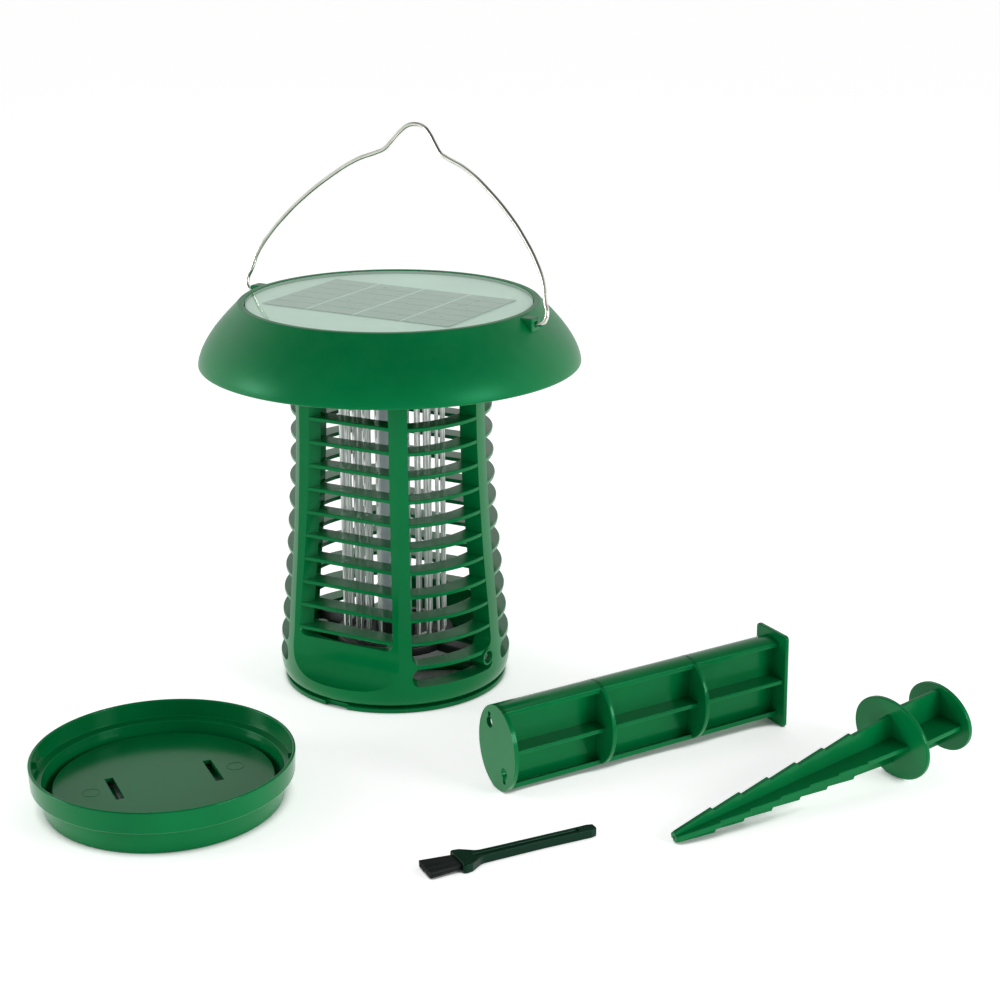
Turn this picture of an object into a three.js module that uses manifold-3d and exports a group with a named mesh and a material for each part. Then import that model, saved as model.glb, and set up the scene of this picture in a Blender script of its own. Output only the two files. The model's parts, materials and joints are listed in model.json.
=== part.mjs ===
// Solar garden bug zapper: hooded lamp with a louvred cage, hanging bail and light tube, and the
// pieces that go with it laid out beside it: catch tray, extension post, ground stake and brush.
// Millimetres, +Z up. The origin is the middle of the lamp's foot, +X runs along the bail's pivots
// and -Y is the side of the flat window.
import * as THREE from 'three';
import { mergeVertices } from 'three/addons/utils/BufferGeometryUtils.js';
import Module from 'manifold-3d';

const wasm = await Module();
wasm.setup();

// ---------- driving dimensions ----------
const GAP = 0.3; // between pieces that touch
const SLIP = 0.4; // around a screw, wire or button in its hole

// foot
const FLANGE_R = 58.9;
const FLANGE_T = 2.4;
const GROOVE_H = 1.6;
const NOTCH_W = 13;
const NOTCH_DEPTH = 2.6;
const FOOT_RING_W = 12;
const HUB_R = 12;
const SPOKE_W = 7;
const NECK_H = 4.2;
const NECK_T = 2.6;
const NECK_FIT = 0.8; // between the neck and the skirt round it

// cage
const CAGE_H = 167.2;
const CAGE_TOP_R = 51.5;
const CAGE_WAIST_R = 52.4; // at two thirds of the height
const CAGE_LOW_R = 58.5; // at a quarter of the height
const SKIRT_R = 60.8;
const SKIRT_TUCK = 2.9; // how far the skirt draws in at its lower edge
const SKIRT_WALL = 2.2;
const POST_DEPTH = 9.5;
const POST_W = 9.3;
const POST_STEP = 33.4; // degrees from the middle of a flat window to its posts
const FACET_DEPTH = 8.6;
const FACET_SILL = 29; // above the cage's lower edge
const SLAT_T = 2;
const SLAT_PITCH = 12.25;
const SLAT_COUNT = 12;
const SLAT_DEPTH = 10.8;
const SLOT_H = 9.4; // lowest gap of a round window
const CAGE_YAW = 2; // degrees

// hood
const HOOD_LIP_R = 97.6;
const HOOD_H = 31.7;
const RIM_R = 75.6;
const RIM_W = 2.4;
const RIM_DEPTH = 4;
const DECK_T = 2;
const HOOD_WALL = 2.4;
const LIP_DROP = 0.8; // the hood's lip hangs this far below its base plate
const PLATE_T = 2.2;
const PLATE_FIT = 1.6; // between the base plate and the hood round it

// solar panel
const BACKING_T = 1.1;
const CELL_T = 0.3;
const COVER_T = 0.7;
const SEAL_T = 0.4;
const CELL_L = 110;
const CELL_W = 69;
const CELL_COLUMNS = 4;
const CELL_ROWS = 6;
const CELL_GROOVE = 0.7;

// bail
const WIRE_D = 2.2;
const BAIL_LEAN = 17.5; // degrees towards the back
const LUG_T = 5;
const LUG_W = 8;
const LUG_H = 7.6;

// light tube and grids
const TUBE_R = 9;
const TUBE_WALL = 1.2;
const OUTER_GRID_R = 26.5;
const INNER_GRID_R = 19.5;
const OUTER_WIRES = 24;
const INNER_WIRES = 18;
const GRID_WIRE_D = 1.6;
const GRID_RING_H = 1.4;
const HOLDER_R = 31;
const HOLDER_T = 5;
const STEM_R = 9;
const ARM_W = 8;
const ARM_BITE = 8; // of each side screw in its arm
const STEM_H = 16.1;
const CAP_H = 6;
const SOCKET_DROP = 12;
const STRIP_W = 6;

// electronics and controls
const BOARD_T = 1.6;
const BOARD_LIFT = 9.6;
const BOARD_W = 64;
const BOARD_NEAR = 46;
const BOARD_FAR = 80;
const BUTTON_R = 5;
const BUTTON_TRAVEL = 1.5;
const BUTTON_Y = -72;
const CELL_D = 14.2;
const CELL_LEN = 50;
const BATTERY_Y = 66;
const HOLDER_WALL = 1.4;
const DOOR_T = 1.8;
const SCREW_D = 3;
const SCREW_HEAD_D = 6;
const SCREW_HEAD_H = 1.8;

// catch tray
const TRAY_H = 22.8;
const TRAY_WALL = 1.6;
const TRAY_SLIP = 0.5; // between the tray's seat and the lamp's flange
const TRAY_SEAT = 14;
const TRAY_FOOT_R = 54.9;
const TRAY_FLOOR = 9;
const TRAY_FLOOR_T = 2;
const LUG_RUN = 10.5;
const HOOK_T = 1.6;

// extension post
const POST_L = 160;
const OVAL_W = 33.8;
const OVAL_H = 42.4;
const RIB_T = 2.2;
const PLATE_W = 24;
const PLATE_H = 49;
const CAP_W = 12;
const MIDDLE_RIB_W = 21;
const KEYHOLE_R = 2.7;

// ground stake
const BLADE_L = 127.5;
const STAKE_OVAL_W = 49.2;
const STAKE_OVAL_H = 40.2;
const NECK_L = 32.8;
const FIN_T = 2.4;
const FIN_TIP = 2.6; // half width of the blunt tip
const FIN_START = 6.2; // half width at the first barb
const FIN_ROOT = 12.6; // half width where the blade meets its disc
const BARBS = 6;
const BARB_PITCH = 16.3;
const BARB_STEP = 1.3;
const BARE_L = 24.5; // blade without barbs next to the disc

// brush
const BRUSH_L = 83;
const BRISTLE_L = 15;
const BRUSH_T = 4.2;
const BRISTLE_T = 3;
const BRUSH_HEAD_W = 15.5;
const BRUSH_GRIP_W = 5.4;

// where the loose pieces lie
const TRAY_AT = { x: -14, y: -181, turn: 52.8 };
const POST_AT = { x: 117.1, y: -100.2, turn: 58.5 };
const STAKE_AT = { x: 273.2, y: 0.8, turn: 60.8 };
const BRUSH_AT = { x: 128.8, y: -185.5, turn: 54.8 };
const LIE = 0.05; // under a piece that lies tilted

// ---------- worked out ----------
const rad = THREE.MathUtils.degToRad;
const CAGE_Z0 = FLANGE_T + GROOVE_H;
const CAGE_Z1 = CAGE_Z0 + CAGE_H;
const PLATE_Z = CAGE_Z1 + GAP;
const PLATE_TOP = PLATE_Z + PLATE_T;
const LIP_Z = PLATE_Z - LIP_DROP;
const RIM_Z = LIP_Z + HOOD_H;
const DECK_Z = RIM_Z - RIM_DEPTH;
const DECK_UNDER = DECK_Z - DECK_T;
const PANEL_R = RIM_R - RIM_W - SLIP;
const PIVOT_Z = RIM_Z - 3.9;
const HOLDER_Z = FLANGE_T + GAP + STEM_H;
const GRID_Z0 = HOLDER_Z + HOLDER_T + GAP;
const TOP_HOLDER_Z = CAGE_Z1 - HOLDER_T - 2;
const GRID_Z1 = TOP_HOLDER_Z - GAP;
const SOCKET_R = TUBE_R + 3.5;
const CELL_R = CELL_D / 2;

const root = new THREE.Group();
root.name = 'bug_zapper';

// ---------- helpers ----------
const material = (color, roughness, metalness = 0) => {
  return new THREE.MeshStandardMaterial({ color, roughness, metalness });
};
const GREEN = () => material(0x0a7a45, 0.38);
const BLACK = () => material(0x15181a, 0.5);
const STEEL = () => material(0xc8ccc8, 0.25, 1);

// A closed solid from a three.js geometry.
function solid(geometry) {
  const bare = geometry.index ? geometry.toNonIndexed() : geometry;
  bare.deleteAttribute('normal');
  bare.deleteAttribute('uv');
  const merged = mergeVertices(bare, 1e-4);
  const place = merged.attributes.position.array;
  const index = merged.index.array;
  const kept = [];
  let volume = 0;
  const a = new THREE.Vector3();
  const b = new THREE.Vector3();
  const c = new THREE.Vector3();
  for (let i = 0; i < index.length; i += 3) {
    const [p, q, r] = [index[i], index[i + 1], index[i + 2]];
    if (p === q || q === r || r === p) continue;
    kept.push(p, q, r);
    a.fromArray(place, 3 * p);
    b.fromArray(place, 3 * q);
    c.fromArray(place, 3 * r);
    volume += a.dot(b.cross(c));
  }
  if (volume < 0) kept.reverse();
  const mesh = { numProp: 3, vertProperties: new Float32Array(place), triVerts: new Uint32Array(kept) };
  return new wasm.Manifold(new wasm.Mesh(mesh));
}

function geometryOf(shape) {
  const mesh = shape.getMesh();
  const geometry = new THREE.BufferGeometry();
  geometry.setAttribute('position', new THREE.BufferAttribute(mesh.vertProperties, 3));
  geometry.setIndex(new THREE.BufferAttribute(mesh.triVerts, 1));
  geometry.computeVertexNormals();
  return geometry;
}

const union = (list) => list.reduce((sum, next) => sum.add(next));

// A body of revolution about Z from [radius, height] pairs.
function lathe(profile, segments = 40) {
  const points = profile.map(([r, z]) => new THREE.Vector2(r, z));
  return solid(new THREE.LatheGeometry(points, segments).rotateX(Math.PI / 2));
}

function ring(rIn, rOut, z0, z1, segments = 40) {
  const profile = [[rIn, z0], [rOut, z0], [rOut, z1], [rIn, z1], [rIn, z0]];
  return lathe(profile, segments);
}

function disc(r, z0, z1, segments = 40) {
  return lathe([[0, z0], [r, z0], [r, z1], [0, z1]], segments);
}

// A box from its lowest and highest corners.
function block(low, high) {
  const size = high.map((value, i) => value - low[i]);
  const middle = high.map((value, i) => (value + low[i]) / 2);
  return solid(new THREE.BoxGeometry(...size).translate(...middle));
}

// A round bar of radius r from one point to another.
function bar(from, to, r, segments = 12) {
  const start = new THREE.Vector3(...from);
  const run = new THREE.Vector3(...to).sub(start);
  const geometry = new THREE.CylinderGeometry(r, r, run.length(), segments);
  geometry.translate(0, run.length() / 2, 0);
  const turn = new THREE.Quaternion().setFromUnitVectors(new THREE.Vector3(0, 1, 0), run.normalize());
  return solid(geometry.applyQuaternion(turn).translate(...from));
}

// An outline in X and Y, extruded from z0 to z1.
function prism(outline, z0, z1) {
  const shape = new THREE.Shape(outline.map(([x, y]) => new THREE.Vector2(x, y)));
  const geometry = new THREE.ExtrudeGeometry(shape, { depth: z1 - z0, bevelEnabled: false });
  return solid(geometry.translate(0, 0, z0));
}

function ellipse(halfX, halfY, steps = 32) {
  return Array.from({ length: steps }, (_, i) => {
    const angle = (2 * Math.PI * i) / steps;
    return [halfX * Math.cos(angle), halfY * Math.sin(angle)];
  });
}

function rectangle(halfX, halfY, corner) {
  const outline = [];
  const signs = [[1, 1], [-1, 1], [-1, -1], [1, -1]];
  signs.forEach(([sx, sy], i) => {
    for (let step = 0; step <= 3; step++) {
      const angle = (i + step / 3) * (Math.PI / 2);
      const x = sx * (halfX - corner) + corner * Math.cos(angle);
      outline.push([x, sy * (halfY - corner) + corner * Math.sin(angle)]);
    }
  });
  return outline;
}

// A tube of radius r along points, with a section of so many sides.
function tube(points, r, sides, steps) {
  const curve = new THREE.CatmullRomCurve3(points, false, 'centripetal');
  const section = new THREE.Shape(ellipse(r, r, sides).map(([x, y]) => new THREE.Vector2(x, y)));
  return solid(new THREE.ExtrudeGeometry(section, { steps, bevelEnabled: false, extrudePath: curve }));
}

function turned(shape, degrees) {
  return shape.rotate([0, 0, degrees]);
}

function add(name, shape, look, parent = root) {
  const mesh = new THREE.Mesh(geometryOf(shape), look);
  mesh.name = name;
  parent.add(mesh);
  return mesh;
}

const polar = (r, degrees, z) => [r * Math.cos(rad(degrees)), r * Math.sin(rad(degrees)), z];

// A cap-head screw with its point up or down; `head` is the underside of the head.
function screw(x, y, head, length, up) {
  const way = up ? 1 : -1;
  const top = bar([x, y, head - way * SCREW_HEAD_H], [x, y, head], SCREW_HEAD_D / 2, 12);
  const shank = bar([x, y, head - way * 0.2], [x, y, head + way * length], SCREW_D / 2, 8);
  const slot = block(
    [x - SCREW_HEAD_D / 2.6, y - 0.4, head - way * SCREW_HEAD_H - 0.8],
    [x + SCREW_HEAD_D / 2.6, y + 0.4, head - way * SCREW_HEAD_H + 0.8],
  );
  return top.add(shank).subtract(slot);
}

// ---------- foot ----------
const neckR = SKIRT_R - SKIRT_TUCK - SKIRT_WALL - NECK_FIT;
const footIn = FLANGE_R - FOOT_RING_W;
const sideScrewZ = HOLDER_Z + HOLDER_T / 2;
const sideScrewAngles = [-8.5, 171.5];
{
  const parts = [
    ring(footIn, FLANGE_R, 0, FLANGE_T),
    ring(neckR - NECK_T, neckR, FLANGE_T - 0.2, FLANGE_T + NECK_H),
    disc(HUB_R, 0, FLANGE_T, 32),
  ];
  for (const angle of [30, 150, 270]) {
    const spoke = block([HUB_R - 2, -SPOKE_W / 2, 0], [footIn + 2, SPOKE_W / 2, FLANGE_T]);
    parts.push(turned(spoke, angle));
  }
  let foot = union(parts);
  for (const angle of [-90, 90]) {
    const notch = block([FLANGE_R - NOTCH_DEPTH, -NOTCH_W / 2, -1], [FLANGE_R + 2, NOTCH_W / 2, FLANGE_T + 0.01]);
    foot = foot.subtract(turned(notch, angle));
  }
  add('base_ring', foot, GREEN());
}

// ---------- cage ----------
// Outer radius of the cage at a height above its lower edge: a rounded skirt, then a smooth taper.
const taper = new THREE.CatmullRomCurve3([
  new THREE.Vector3(SKIRT_R, 14, 0),
  new THREE.Vector3(CAGE_LOW_R, CAGE_H * 0.25, 0),
  new THREE.Vector3((CAGE_LOW_R + CAGE_WAIST_R) / 2 - 0.3, CAGE_H * 0.47, 0),
  new THREE.Vector3(CAGE_WAIST_R, CAGE_H * 0.75, 0),
  new THREE.Vector3(CAGE_TOP_R, CAGE_H, 0),
]);
const taperPoints = taper.getPoints(7).map((p) => [p.x, CAGE_Z0 + p.y]);
function cageR(z) {
  let i = 1;
  while (i < taperPoints.length - 1 && taperPoints[i][1] < z) i++;
  const [r0, z0] = taperPoints[i - 1];
  const [r1, z1] = taperPoints[i];
  return r0 + ((r1 - r0) * (z - z0)) / (z1 - z0);
}
const skirt = [0, 30, 60].map((angle) => [
  SKIRT_R - SKIRT_TUCK * (1 - Math.sin(rad(angle))),
  CAGE_Z0 + 9 * (1 - Math.cos(rad(angle))),
]);
const cageGroup = new THREE.Group();
cageGroup.rotation.z = rad(CAGE_YAW);
root.add(cageGroup);
const postAngles = [0, 180];
for (const side of [-90, 90]) {
  postAngles.push(side - POST_STEP, side + POST_STEP);
}
const cageSides = [
  ['cage_front', -90 - POST_STEP, -90 + POST_STEP],
  ['cage_front_right', -90 + POST_STEP, 0],
  ['cage_back_right', 0, 90 - POST_STEP],
  ['cage_back', 90 - POST_STEP, 90 + POST_STEP],
  ['cage_back_left', 90 + POST_STEP, 180],
  ['cage_front_left', 180, 270 - POST_STEP],
];
const sillZ = CAGE_Z0 + FACET_SILL;
const roundFloor = CAGE_Z0 + 10.5;
const windowTop = CAGE_Z1 - 7.4;
const slatTop = (k) => roundFloor + SLOT_H + SLAT_T + SLAT_PITCH * k;
const SIDES = 28;
{
  const outer = lathe([[0, CAGE_Z0], ...skirt, ...taperPoints, [0, CAGE_Z1]], SIDES);
  const seat = CAGE_Z0 + NECK_H + 0.2;
  const inside = taperPoints.map(([r, z]) => [r - POST_DEPTH, z]);
  const inner = lathe([
    [0, CAGE_Z0 - 1], [neckR + NECK_FIT, CAGE_Z0 - 1], [neckR + NECK_FIT, seat], [inside[0][0], seat],
    ...inside, [CAGE_TOP_R - POST_DEPTH, CAGE_Z1 + 1], [0, CAGE_Z1 + 1],
  ], SIDES);
  const keep = [disc(80, CAGE_Z0, roundFloor, 12), disc(80, windowTop, CAGE_Z1, 12)];
  for (const angle of postAngles) {
    keep.push(turned(block([20, -POST_W / 2, CAGE_Z0], [80, POST_W / 2, CAGE_Z1]), angle));
  }
  const sill = block([-SKIRT_R / 2, -80, CAGE_Z0], [SKIRT_R / 2, 80, sillZ]);
  keep.push(sill);
  const pieces = [outer.subtract(inner).intersect(union(keep))];
  for (let k = 0; k < SLAT_COUNT; k++) {
    const top = slatTop(k);
    const r = cageR(top);
    const slats = [ring(r - SLAT_DEPTH, r + 4, top - SLAT_T, top, SIDES).intersect(outer)];
    if (top - SLAT_T > sillZ) {
      const half = (r - FACET_DEPTH) * Math.tan(rad(POST_STEP)) - 1;
      const face = r - FACET_DEPTH + 1;
      for (const side of [-1, 1]) {
        const near = side * face;
        const far = side * (face - SLAT_DEPTH);
        slats.push(block([-half, Math.min(near, far), top - SLAT_T], [half, Math.max(near, far), top]));
      }
    }
    pieces.push(union(slats));
  }
  let cage = union(pieces);
  // the flat window's face runs down with the taper and sweeps out to the round skirt
  const facet = [];
  for (let z = CAGE_Z1 + 1; z > sillZ - 3; z -= 22) facet.push([cageR(z) - FACET_DEPTH, z]);
  const foot = cageR(sillZ) - FACET_DEPTH;
  const sweepH = sillZ - CAGE_Z0 - 8;
  for (let step = 0; step <= 6; step++) {
    const angle = (Math.PI / 2) * (step / 6);
    facet.push([foot + (SKIRT_R - foot) * (1 - Math.cos(angle)), sillZ - 3 - (sweepH - 3) * Math.sin(angle)]);
  }
  facet.push([90, facet[facet.length - 1][1]], [90, CAGE_Z1 + 1]);
  const cut = prism(facet, -50, 50).rotate([90, 0, 90]);
  cage = cage.subtract(cut).subtract(cut.rotate([0, 0, 180]));
  for (const angle of sideScrewAngles) {
    const r = cageR(sideScrewZ);
    const boss = bar(polar(r - POST_DEPTH, angle, sideScrewZ), polar(r + 0.6, angle, sideScrewZ), 4, 16);
    const bore = bar(polar(r - 3, angle, sideScrewZ), polar(r + 2, angle, sideScrewZ), SCREW_HEAD_D / 2 + GAP, 16);
    const hole = bar(polar(r - 20, angle, sideScrewZ), polar(r, angle, sideScrewZ), SCREW_D / 2 + GAP, 12);
    cage = cage.add(boss).subtract(bore).subtract(hole);
  }
  for (const angle of postAngles.slice(2)) {
    const [x, y] = polar(CAGE_TOP_R - POST_DEPTH / 2 - 1, angle, 0);
    cage = cage.subtract(bar([x, y, CAGE_Z1 - 12], [x, y, CAGE_Z1 + 1], SCREW_D / 2 + GAP, 12));
  }
  // parted along the middle of each post into its six sides
  cageSides.forEach(([name, from, to]) => {
    const half = (to - from) / 2;
    const [x, y] = polar(GAP / 2 / Math.sin(rad(half)), from + half, 0);
    const outline = [from, from + half, to].map((angle) => polar(200, angle, 0)).map((p) => [p[0] + x, p[1] + y]);
    const wedge = prism([[x, y], ...outline], CAGE_Z0 - 1, CAGE_Z1 + 1);
    add(name, cage.intersect(wedge), GREEN(), cageGroup);
  });
  sideScrewAngles.forEach((angle, i) => {
    const r = cageR(sideScrewZ);
    const head = bar(polar(r - 2.7, angle, sideScrewZ), polar(r - 0.9, angle, sideScrewZ), SCREW_HEAD_D / 2, 16);
    const tip = r - POST_DEPTH - ARM_BITE;
    const shank = bar(polar(tip, angle, sideScrewZ), polar(r - 2.5, angle, sideScrewZ), SCREW_D / 2, 8);
    add(`side_screw_${i + 1}`, head.add(shank), STEEL(), cageGroup);
  });
  postAngles.slice(2).forEach((angle, i) => {
    const [x, y] = polar(CAGE_TOP_R - POST_DEPTH / 2 - 1, angle, 0);
    add(`cage_screw_${i + 1}`, screw(x, y, PLATE_TOP + GAP, PLATE_T + 10, false), STEEL(), cageGroup);
  });
}

// ---------- grids and light tube ----------
function grid(radius, wires) {
  const r = GRID_WIRE_D / 2;
  const pieces = [];
  for (const z of [GRID_Z0, GRID_Z1 - GRID_RING_H]) {
    pieces.push(ring(radius - 1.5, radius + 1.5, z, z + GRID_RING_H, wires));
  }
  const low = GRID_Z0 + GRID_RING_H - 0.2;
  const high = GRID_Z1 - GRID_RING_H + 0.2;
  for (let i = 0; i < wires; i++) {
    const angle = (360 * i) / wires;
    pieces.push(bar(polar(radius, angle, low), polar(radius, angle, high), r, 4));
  }
  return union(pieces);
}
add('outer_grid', grid(OUTER_GRID_R, OUTER_WIRES), STEEL());
add('inner_grid', grid(INNER_GRID_R, INNER_WIRES), STEEL());
{
  let base = disc(HOLDER_R, HOLDER_Z, HOLDER_Z + HOLDER_T).add(disc(STEM_R, FLANGE_T + GAP, HOLDER_Z + 1, 24));
  const armEnd = Math.min(cageR(HOLDER_Z), cageR(HOLDER_Z + HOLDER_T)) - POST_DEPTH - NECK_FIT;
  for (const angle of sideScrewAngles.map((value) => value + CAGE_YAW)) {
    const arm = block([HOLDER_R - 3, -ARM_W / 2, HOLDER_Z], [armEnd, ARM_W / 2, HOLDER_Z + HOLDER_T]);
    const from = polar(armEnd - ARM_BITE - 1, angle, sideScrewZ);
    const hole = bar(from, polar(armEnd + 1, angle, sideScrewZ), SCREW_D / 2 + GAP, 12);
    base = base.add(turned(arm, angle)).subtract(hole);
  }
  add('grid_base_holder', base, BLACK());
  const top = ring(SOCKET_R + SLIP, HOLDER_R, TOP_HOLDER_Z, CAGE_Z1 - GAP, 40);
  add('grid_top_holder', top, BLACK());
  const capTop = GRID_Z0 + CAP_H;
  const cup = disc(TUBE_R + 1.6, GRID_Z0, capTop, 24);
  add('tube_end_cap', cup.subtract(disc(TUBE_R + GAP, GRID_Z0 + 2, capTop + 1, 24)), BLACK());
  const socketZ = TOP_HOLDER_Z - SOCKET_DROP;
  const tubeTop = TOP_HOLDER_Z - 2;
  const body = disc(SOCKET_R, socketZ, PLATE_TOP + 3, 32).add(disc(SOCKET_R + 6, PLATE_TOP + GAP, PLATE_TOP + 3, 32));
  add('lamp_socket', body.subtract(disc(TUBE_R + GAP, socketZ - 1, tubeTop + GAP, 24)), BLACK());
  const tubeZ = GRID_Z0 + 2 + GAP;
  add('light_tube', ring(TUBE_R - TUBE_WALL, TUBE_R, tubeZ, tubeTop, 32), material(0xd6e6ee, 0.2));
  const strip = block([-STRIP_W / 2, -BOARD_T / 2, tubeZ + 2], [STRIP_W / 2, BOARD_T / 2, tubeTop - 2]);
  add('led_strip', strip, material(0xe8ece8, 0.5));
}

// ---------- hood ----------
const hoodStart = new THREE.Vector2(RIM_R + 1.9, RIM_Z - 1.7);
const hoodBend = new THREE.Vector2(HOOD_LIP_R - 1.3, LIP_Z + 12.4);
const hoodCurve = new THREE.QuadraticBezierCurve(hoodStart, hoodBend, new THREE.Vector2(HOOD_LIP_R, LIP_Z));
const hoodOuter = hoodCurve.getPoints(7).map((p) => [p.x, p.y]);
const hoodInner = Array.from({ length: 5 }, (_, i) => {
  const t = 0.12 + (0.88 * i) / 4;
  const p = hoodCurve.getPoint(t);
  const along = hoodCurve.getTangent(t);
  return [p.x + along.y * HOOD_WALL, p.y - along.x * HOOD_WALL];
});
const hoodScrewR = (RIM_R + HOOD_LIP_R) / 2 - 3.6;
const hoodScrews = [45, 135, 225, 315].map((angle) => polar(hoodScrewR, angle, 0));
const lugOut = RIM_R + 8.2;
{
  hoodInner[hoodInner.length - 1][1] = LIP_Z;
  const rimIn = RIM_R - RIM_W;
  let hood = lathe([
    [0, DECK_UNDER], [hoodInner[0][0] - 3, DECK_UNDER], ...hoodInner, ...hoodOuter.slice().reverse(),
    [RIM_R, RIM_Z], [rimIn, RIM_Z], [rimIn, DECK_Z], [0, DECK_Z],
  ], 40);
  for (const side of [-1, 1]) {
    const low = [RIM_R, -LUG_W / 2, PIVOT_Z - LUG_H / 2];
    const lug = block(low, [lugOut, LUG_W / 2, PIVOT_Z + LUG_H / 2 - 0.6]);
    const bore = bar([lugOut - LUG_T, 0, PIVOT_Z], [lugOut + 2, 0, PIVOT_Z], WIRE_D / 2 + SLIP, 16);
    const way = side < 0 ? 180 : 0;
    hood = hood.add(turned(lug, way)).subtract(turned(bore, way));
  }
  const filled = lathe([[0, LIP_Z], ...hoodOuter.slice().reverse(), [RIM_R, RIM_Z], [0, RIM_Z]], 40);
  for (const [x, y] of hoodScrews) {
    hood = hood.add(bar([x, y, PLATE_TOP + GAP], [x, y, RIM_Z], 4, 16).intersect(filled));
    hood = hood.subtract(bar([x, y, PLATE_TOP - 1], [x, y, PLATE_TOP + 11], SCREW_D / 2 + GAP, 12));
  }
  add('hood_shell', hood, material(0x0a7344, 0.55));
}

// ---------- base plate of the hood, with its screws ----------
const doorHalf = CELL_LEN / 2 + HOLDER_WALL + 2;
const doorNear = BATTERY_Y - CELL_R - 1.6;
const doorFar = BATTERY_Y + CELL_R + 2.4;
const boardZ = PLATE_TOP + BOARD_LIFT;
const standoffs = [];
for (const x of [-BOARD_W / 2 + 5, BOARD_W / 2 - 5]) {
  for (const y of [-BOARD_NEAR - 5, -BOARD_FAR + 5]) standoffs.push([x, y]);
}
{
  let plate = disc(HOOD_LIP_R - HOOD_WALL - PLATE_FIT, PLATE_Z, PLATE_TOP);
  plate = plate.subtract(disc(SOCKET_R + SLIP, PLATE_Z - 1, PLATE_TOP + 1, 32));
  for (const [x, y] of standoffs) {
    plate = plate.add(bar([x, y, PLATE_Z + 0.5], [x, y, boardZ - GAP], 3, 12));
  }
  const doorway = block([-doorHalf, doorNear, PLATE_Z - 1], [doorHalf, doorFar, PLATE_TOP + 1]);
  plate = plate.subtract(doorway);
  plate = plate.subtract(bar([0, BUTTON_Y, PLATE_Z - 1], [0, BUTTON_Y, PLATE_TOP + 1], BUTTON_R + SLIP, 24));
  for (const [x, y] of hoodScrews) {
    plate = plate.subtract(bar([x, y, PLATE_Z - 1], [x, y, PLATE_TOP + 1], SCREW_D / 2 + GAP, 12));
  }
  for (const angle of postAngles.slice(2)) {
    const [x, y] = polar(CAGE_TOP_R - POST_DEPTH / 2 - 1, angle + CAGE_YAW, 0);
    plate = plate.subtract(bar([x, y, PLATE_Z - 1], [x, y, PLATE_TOP + 1], SCREW_D / 2 + GAP, 12));
  }
  add('hood_base_plate', plate, GREEN());
  hoodScrews.forEach(([x, y], i) => {
    add(`hood_screw_${i + 1}`, screw(x, y, PLATE_Z - GAP, PLATE_T + 10, true), STEEL());
  });
}

// ---------- solar panel ----------
const sealZ = DECK_Z + GAP;
const backingZ = sealZ + SEAL_T + GAP;
const cellZ = backingZ + BACKING_T + GAP;
const coverZ = cellZ + CELL_T + GAP;
{
  add('solar_seal', ring(PANEL_R - 8, PANEL_R - 1, sealZ, sealZ + SEAL_T, 32), material(0x22262a, 0.9));
  add('solar_backing', disc(PANEL_R, backingZ, backingZ + BACKING_T), material(0xb8d4c0, 0.5));
  let cells = block([-CELL_L / 2, -CELL_W / 2, cellZ], [CELL_L / 2, CELL_W / 2, cellZ + CELL_T]);
  const cutZ = cellZ + CELL_T * 0.4;
  for (let i = 1; i < CELL_COLUMNS; i++) {
    const x = -CELL_L / 2 + (CELL_L * i) / CELL_COLUMNS;
    const low = [x - CELL_GROOVE / 2, -CELL_W, cutZ];
    cells = cells.subtract(block(low, [x + CELL_GROOVE / 2, CELL_W, coverZ]));
  }
  for (let i = 1; i < CELL_ROWS; i++) {
    const y = -CELL_W / 2 + (CELL_W * i) / CELL_ROWS;
    const low = [-CELL_L, y - CELL_GROOVE / 2, cutZ];
    cells = cells.subtract(block(low, [CELL_L, y + CELL_GROOVE / 2, coverZ]));
  }
  add('solar_cells', cells, material(0x8a9a90, 0.3));
  add('solar_cover', disc(PANEL_R, coverZ, coverZ + COVER_T), material(0xdfeee4, 0.08));
}

// ---------- electronics ----------
{
  const half = BOARD_W / 2;
  let board = block([-half, -BOARD_FAR, boardZ], [half, -BOARD_NEAR, boardZ + BOARD_T]);
  for (const [x, y] of standoffs) {
    board = board.subtract(bar([x, y, boardZ - 1], [x, y, boardZ + 4], 1.2, 8));
  }
  add('control_board', board, material(0x1d5a3a, 0.5));
  const top = boardZ + BOARD_T + GAP;
  const roof = DECK_UNDER - GAP;
  const coilH = Math.min(10, roof - top - 1);
  const coil = block([-18, -64, top], [0, -48, top + coilH]);
  add('step_up_transformer', coil.add(block([-21, -61, top], [3, -51, top + 3])), material(0xd8b23a, 0.5));
  const can = bar([8, -56, top + 4.2], [26, -56, top + 4.2], 4, 20);
  add('storage_capacitor', can, material(0x27406e, 0.4));
  const switchTop = boardZ - GAP;
  add('push_switch', block([-3, BUTTON_Y - 3, switchTop - 3.6], [3, BUTTON_Y + 3, switchTop]), BLACK());
}

// ---------- power button ----------
{
  const stem = switchLow() - BUTTON_TRAVEL - GAP;
  const cap = bar([0, BUTTON_Y, PLATE_Z - 1.6], [0, BUTTON_Y, PLATE_TOP + GAP + 0.6], BUTTON_R, 24);
  const flange = bar([0, BUTTON_Y, PLATE_TOP + GAP], [0, BUTTON_Y, PLATE_TOP + GAP + 1.2], BUTTON_R + 1.8, 24);
  const post = bar([0, BUTTON_Y, PLATE_TOP + GAP + 1], [0, BUTTON_Y, stem], 1.6, 12);
  add('power_button', union([cap, flange, post]), BLACK());
}

function switchLow() {
  return boardZ - GAP - 3.6;
}

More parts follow.
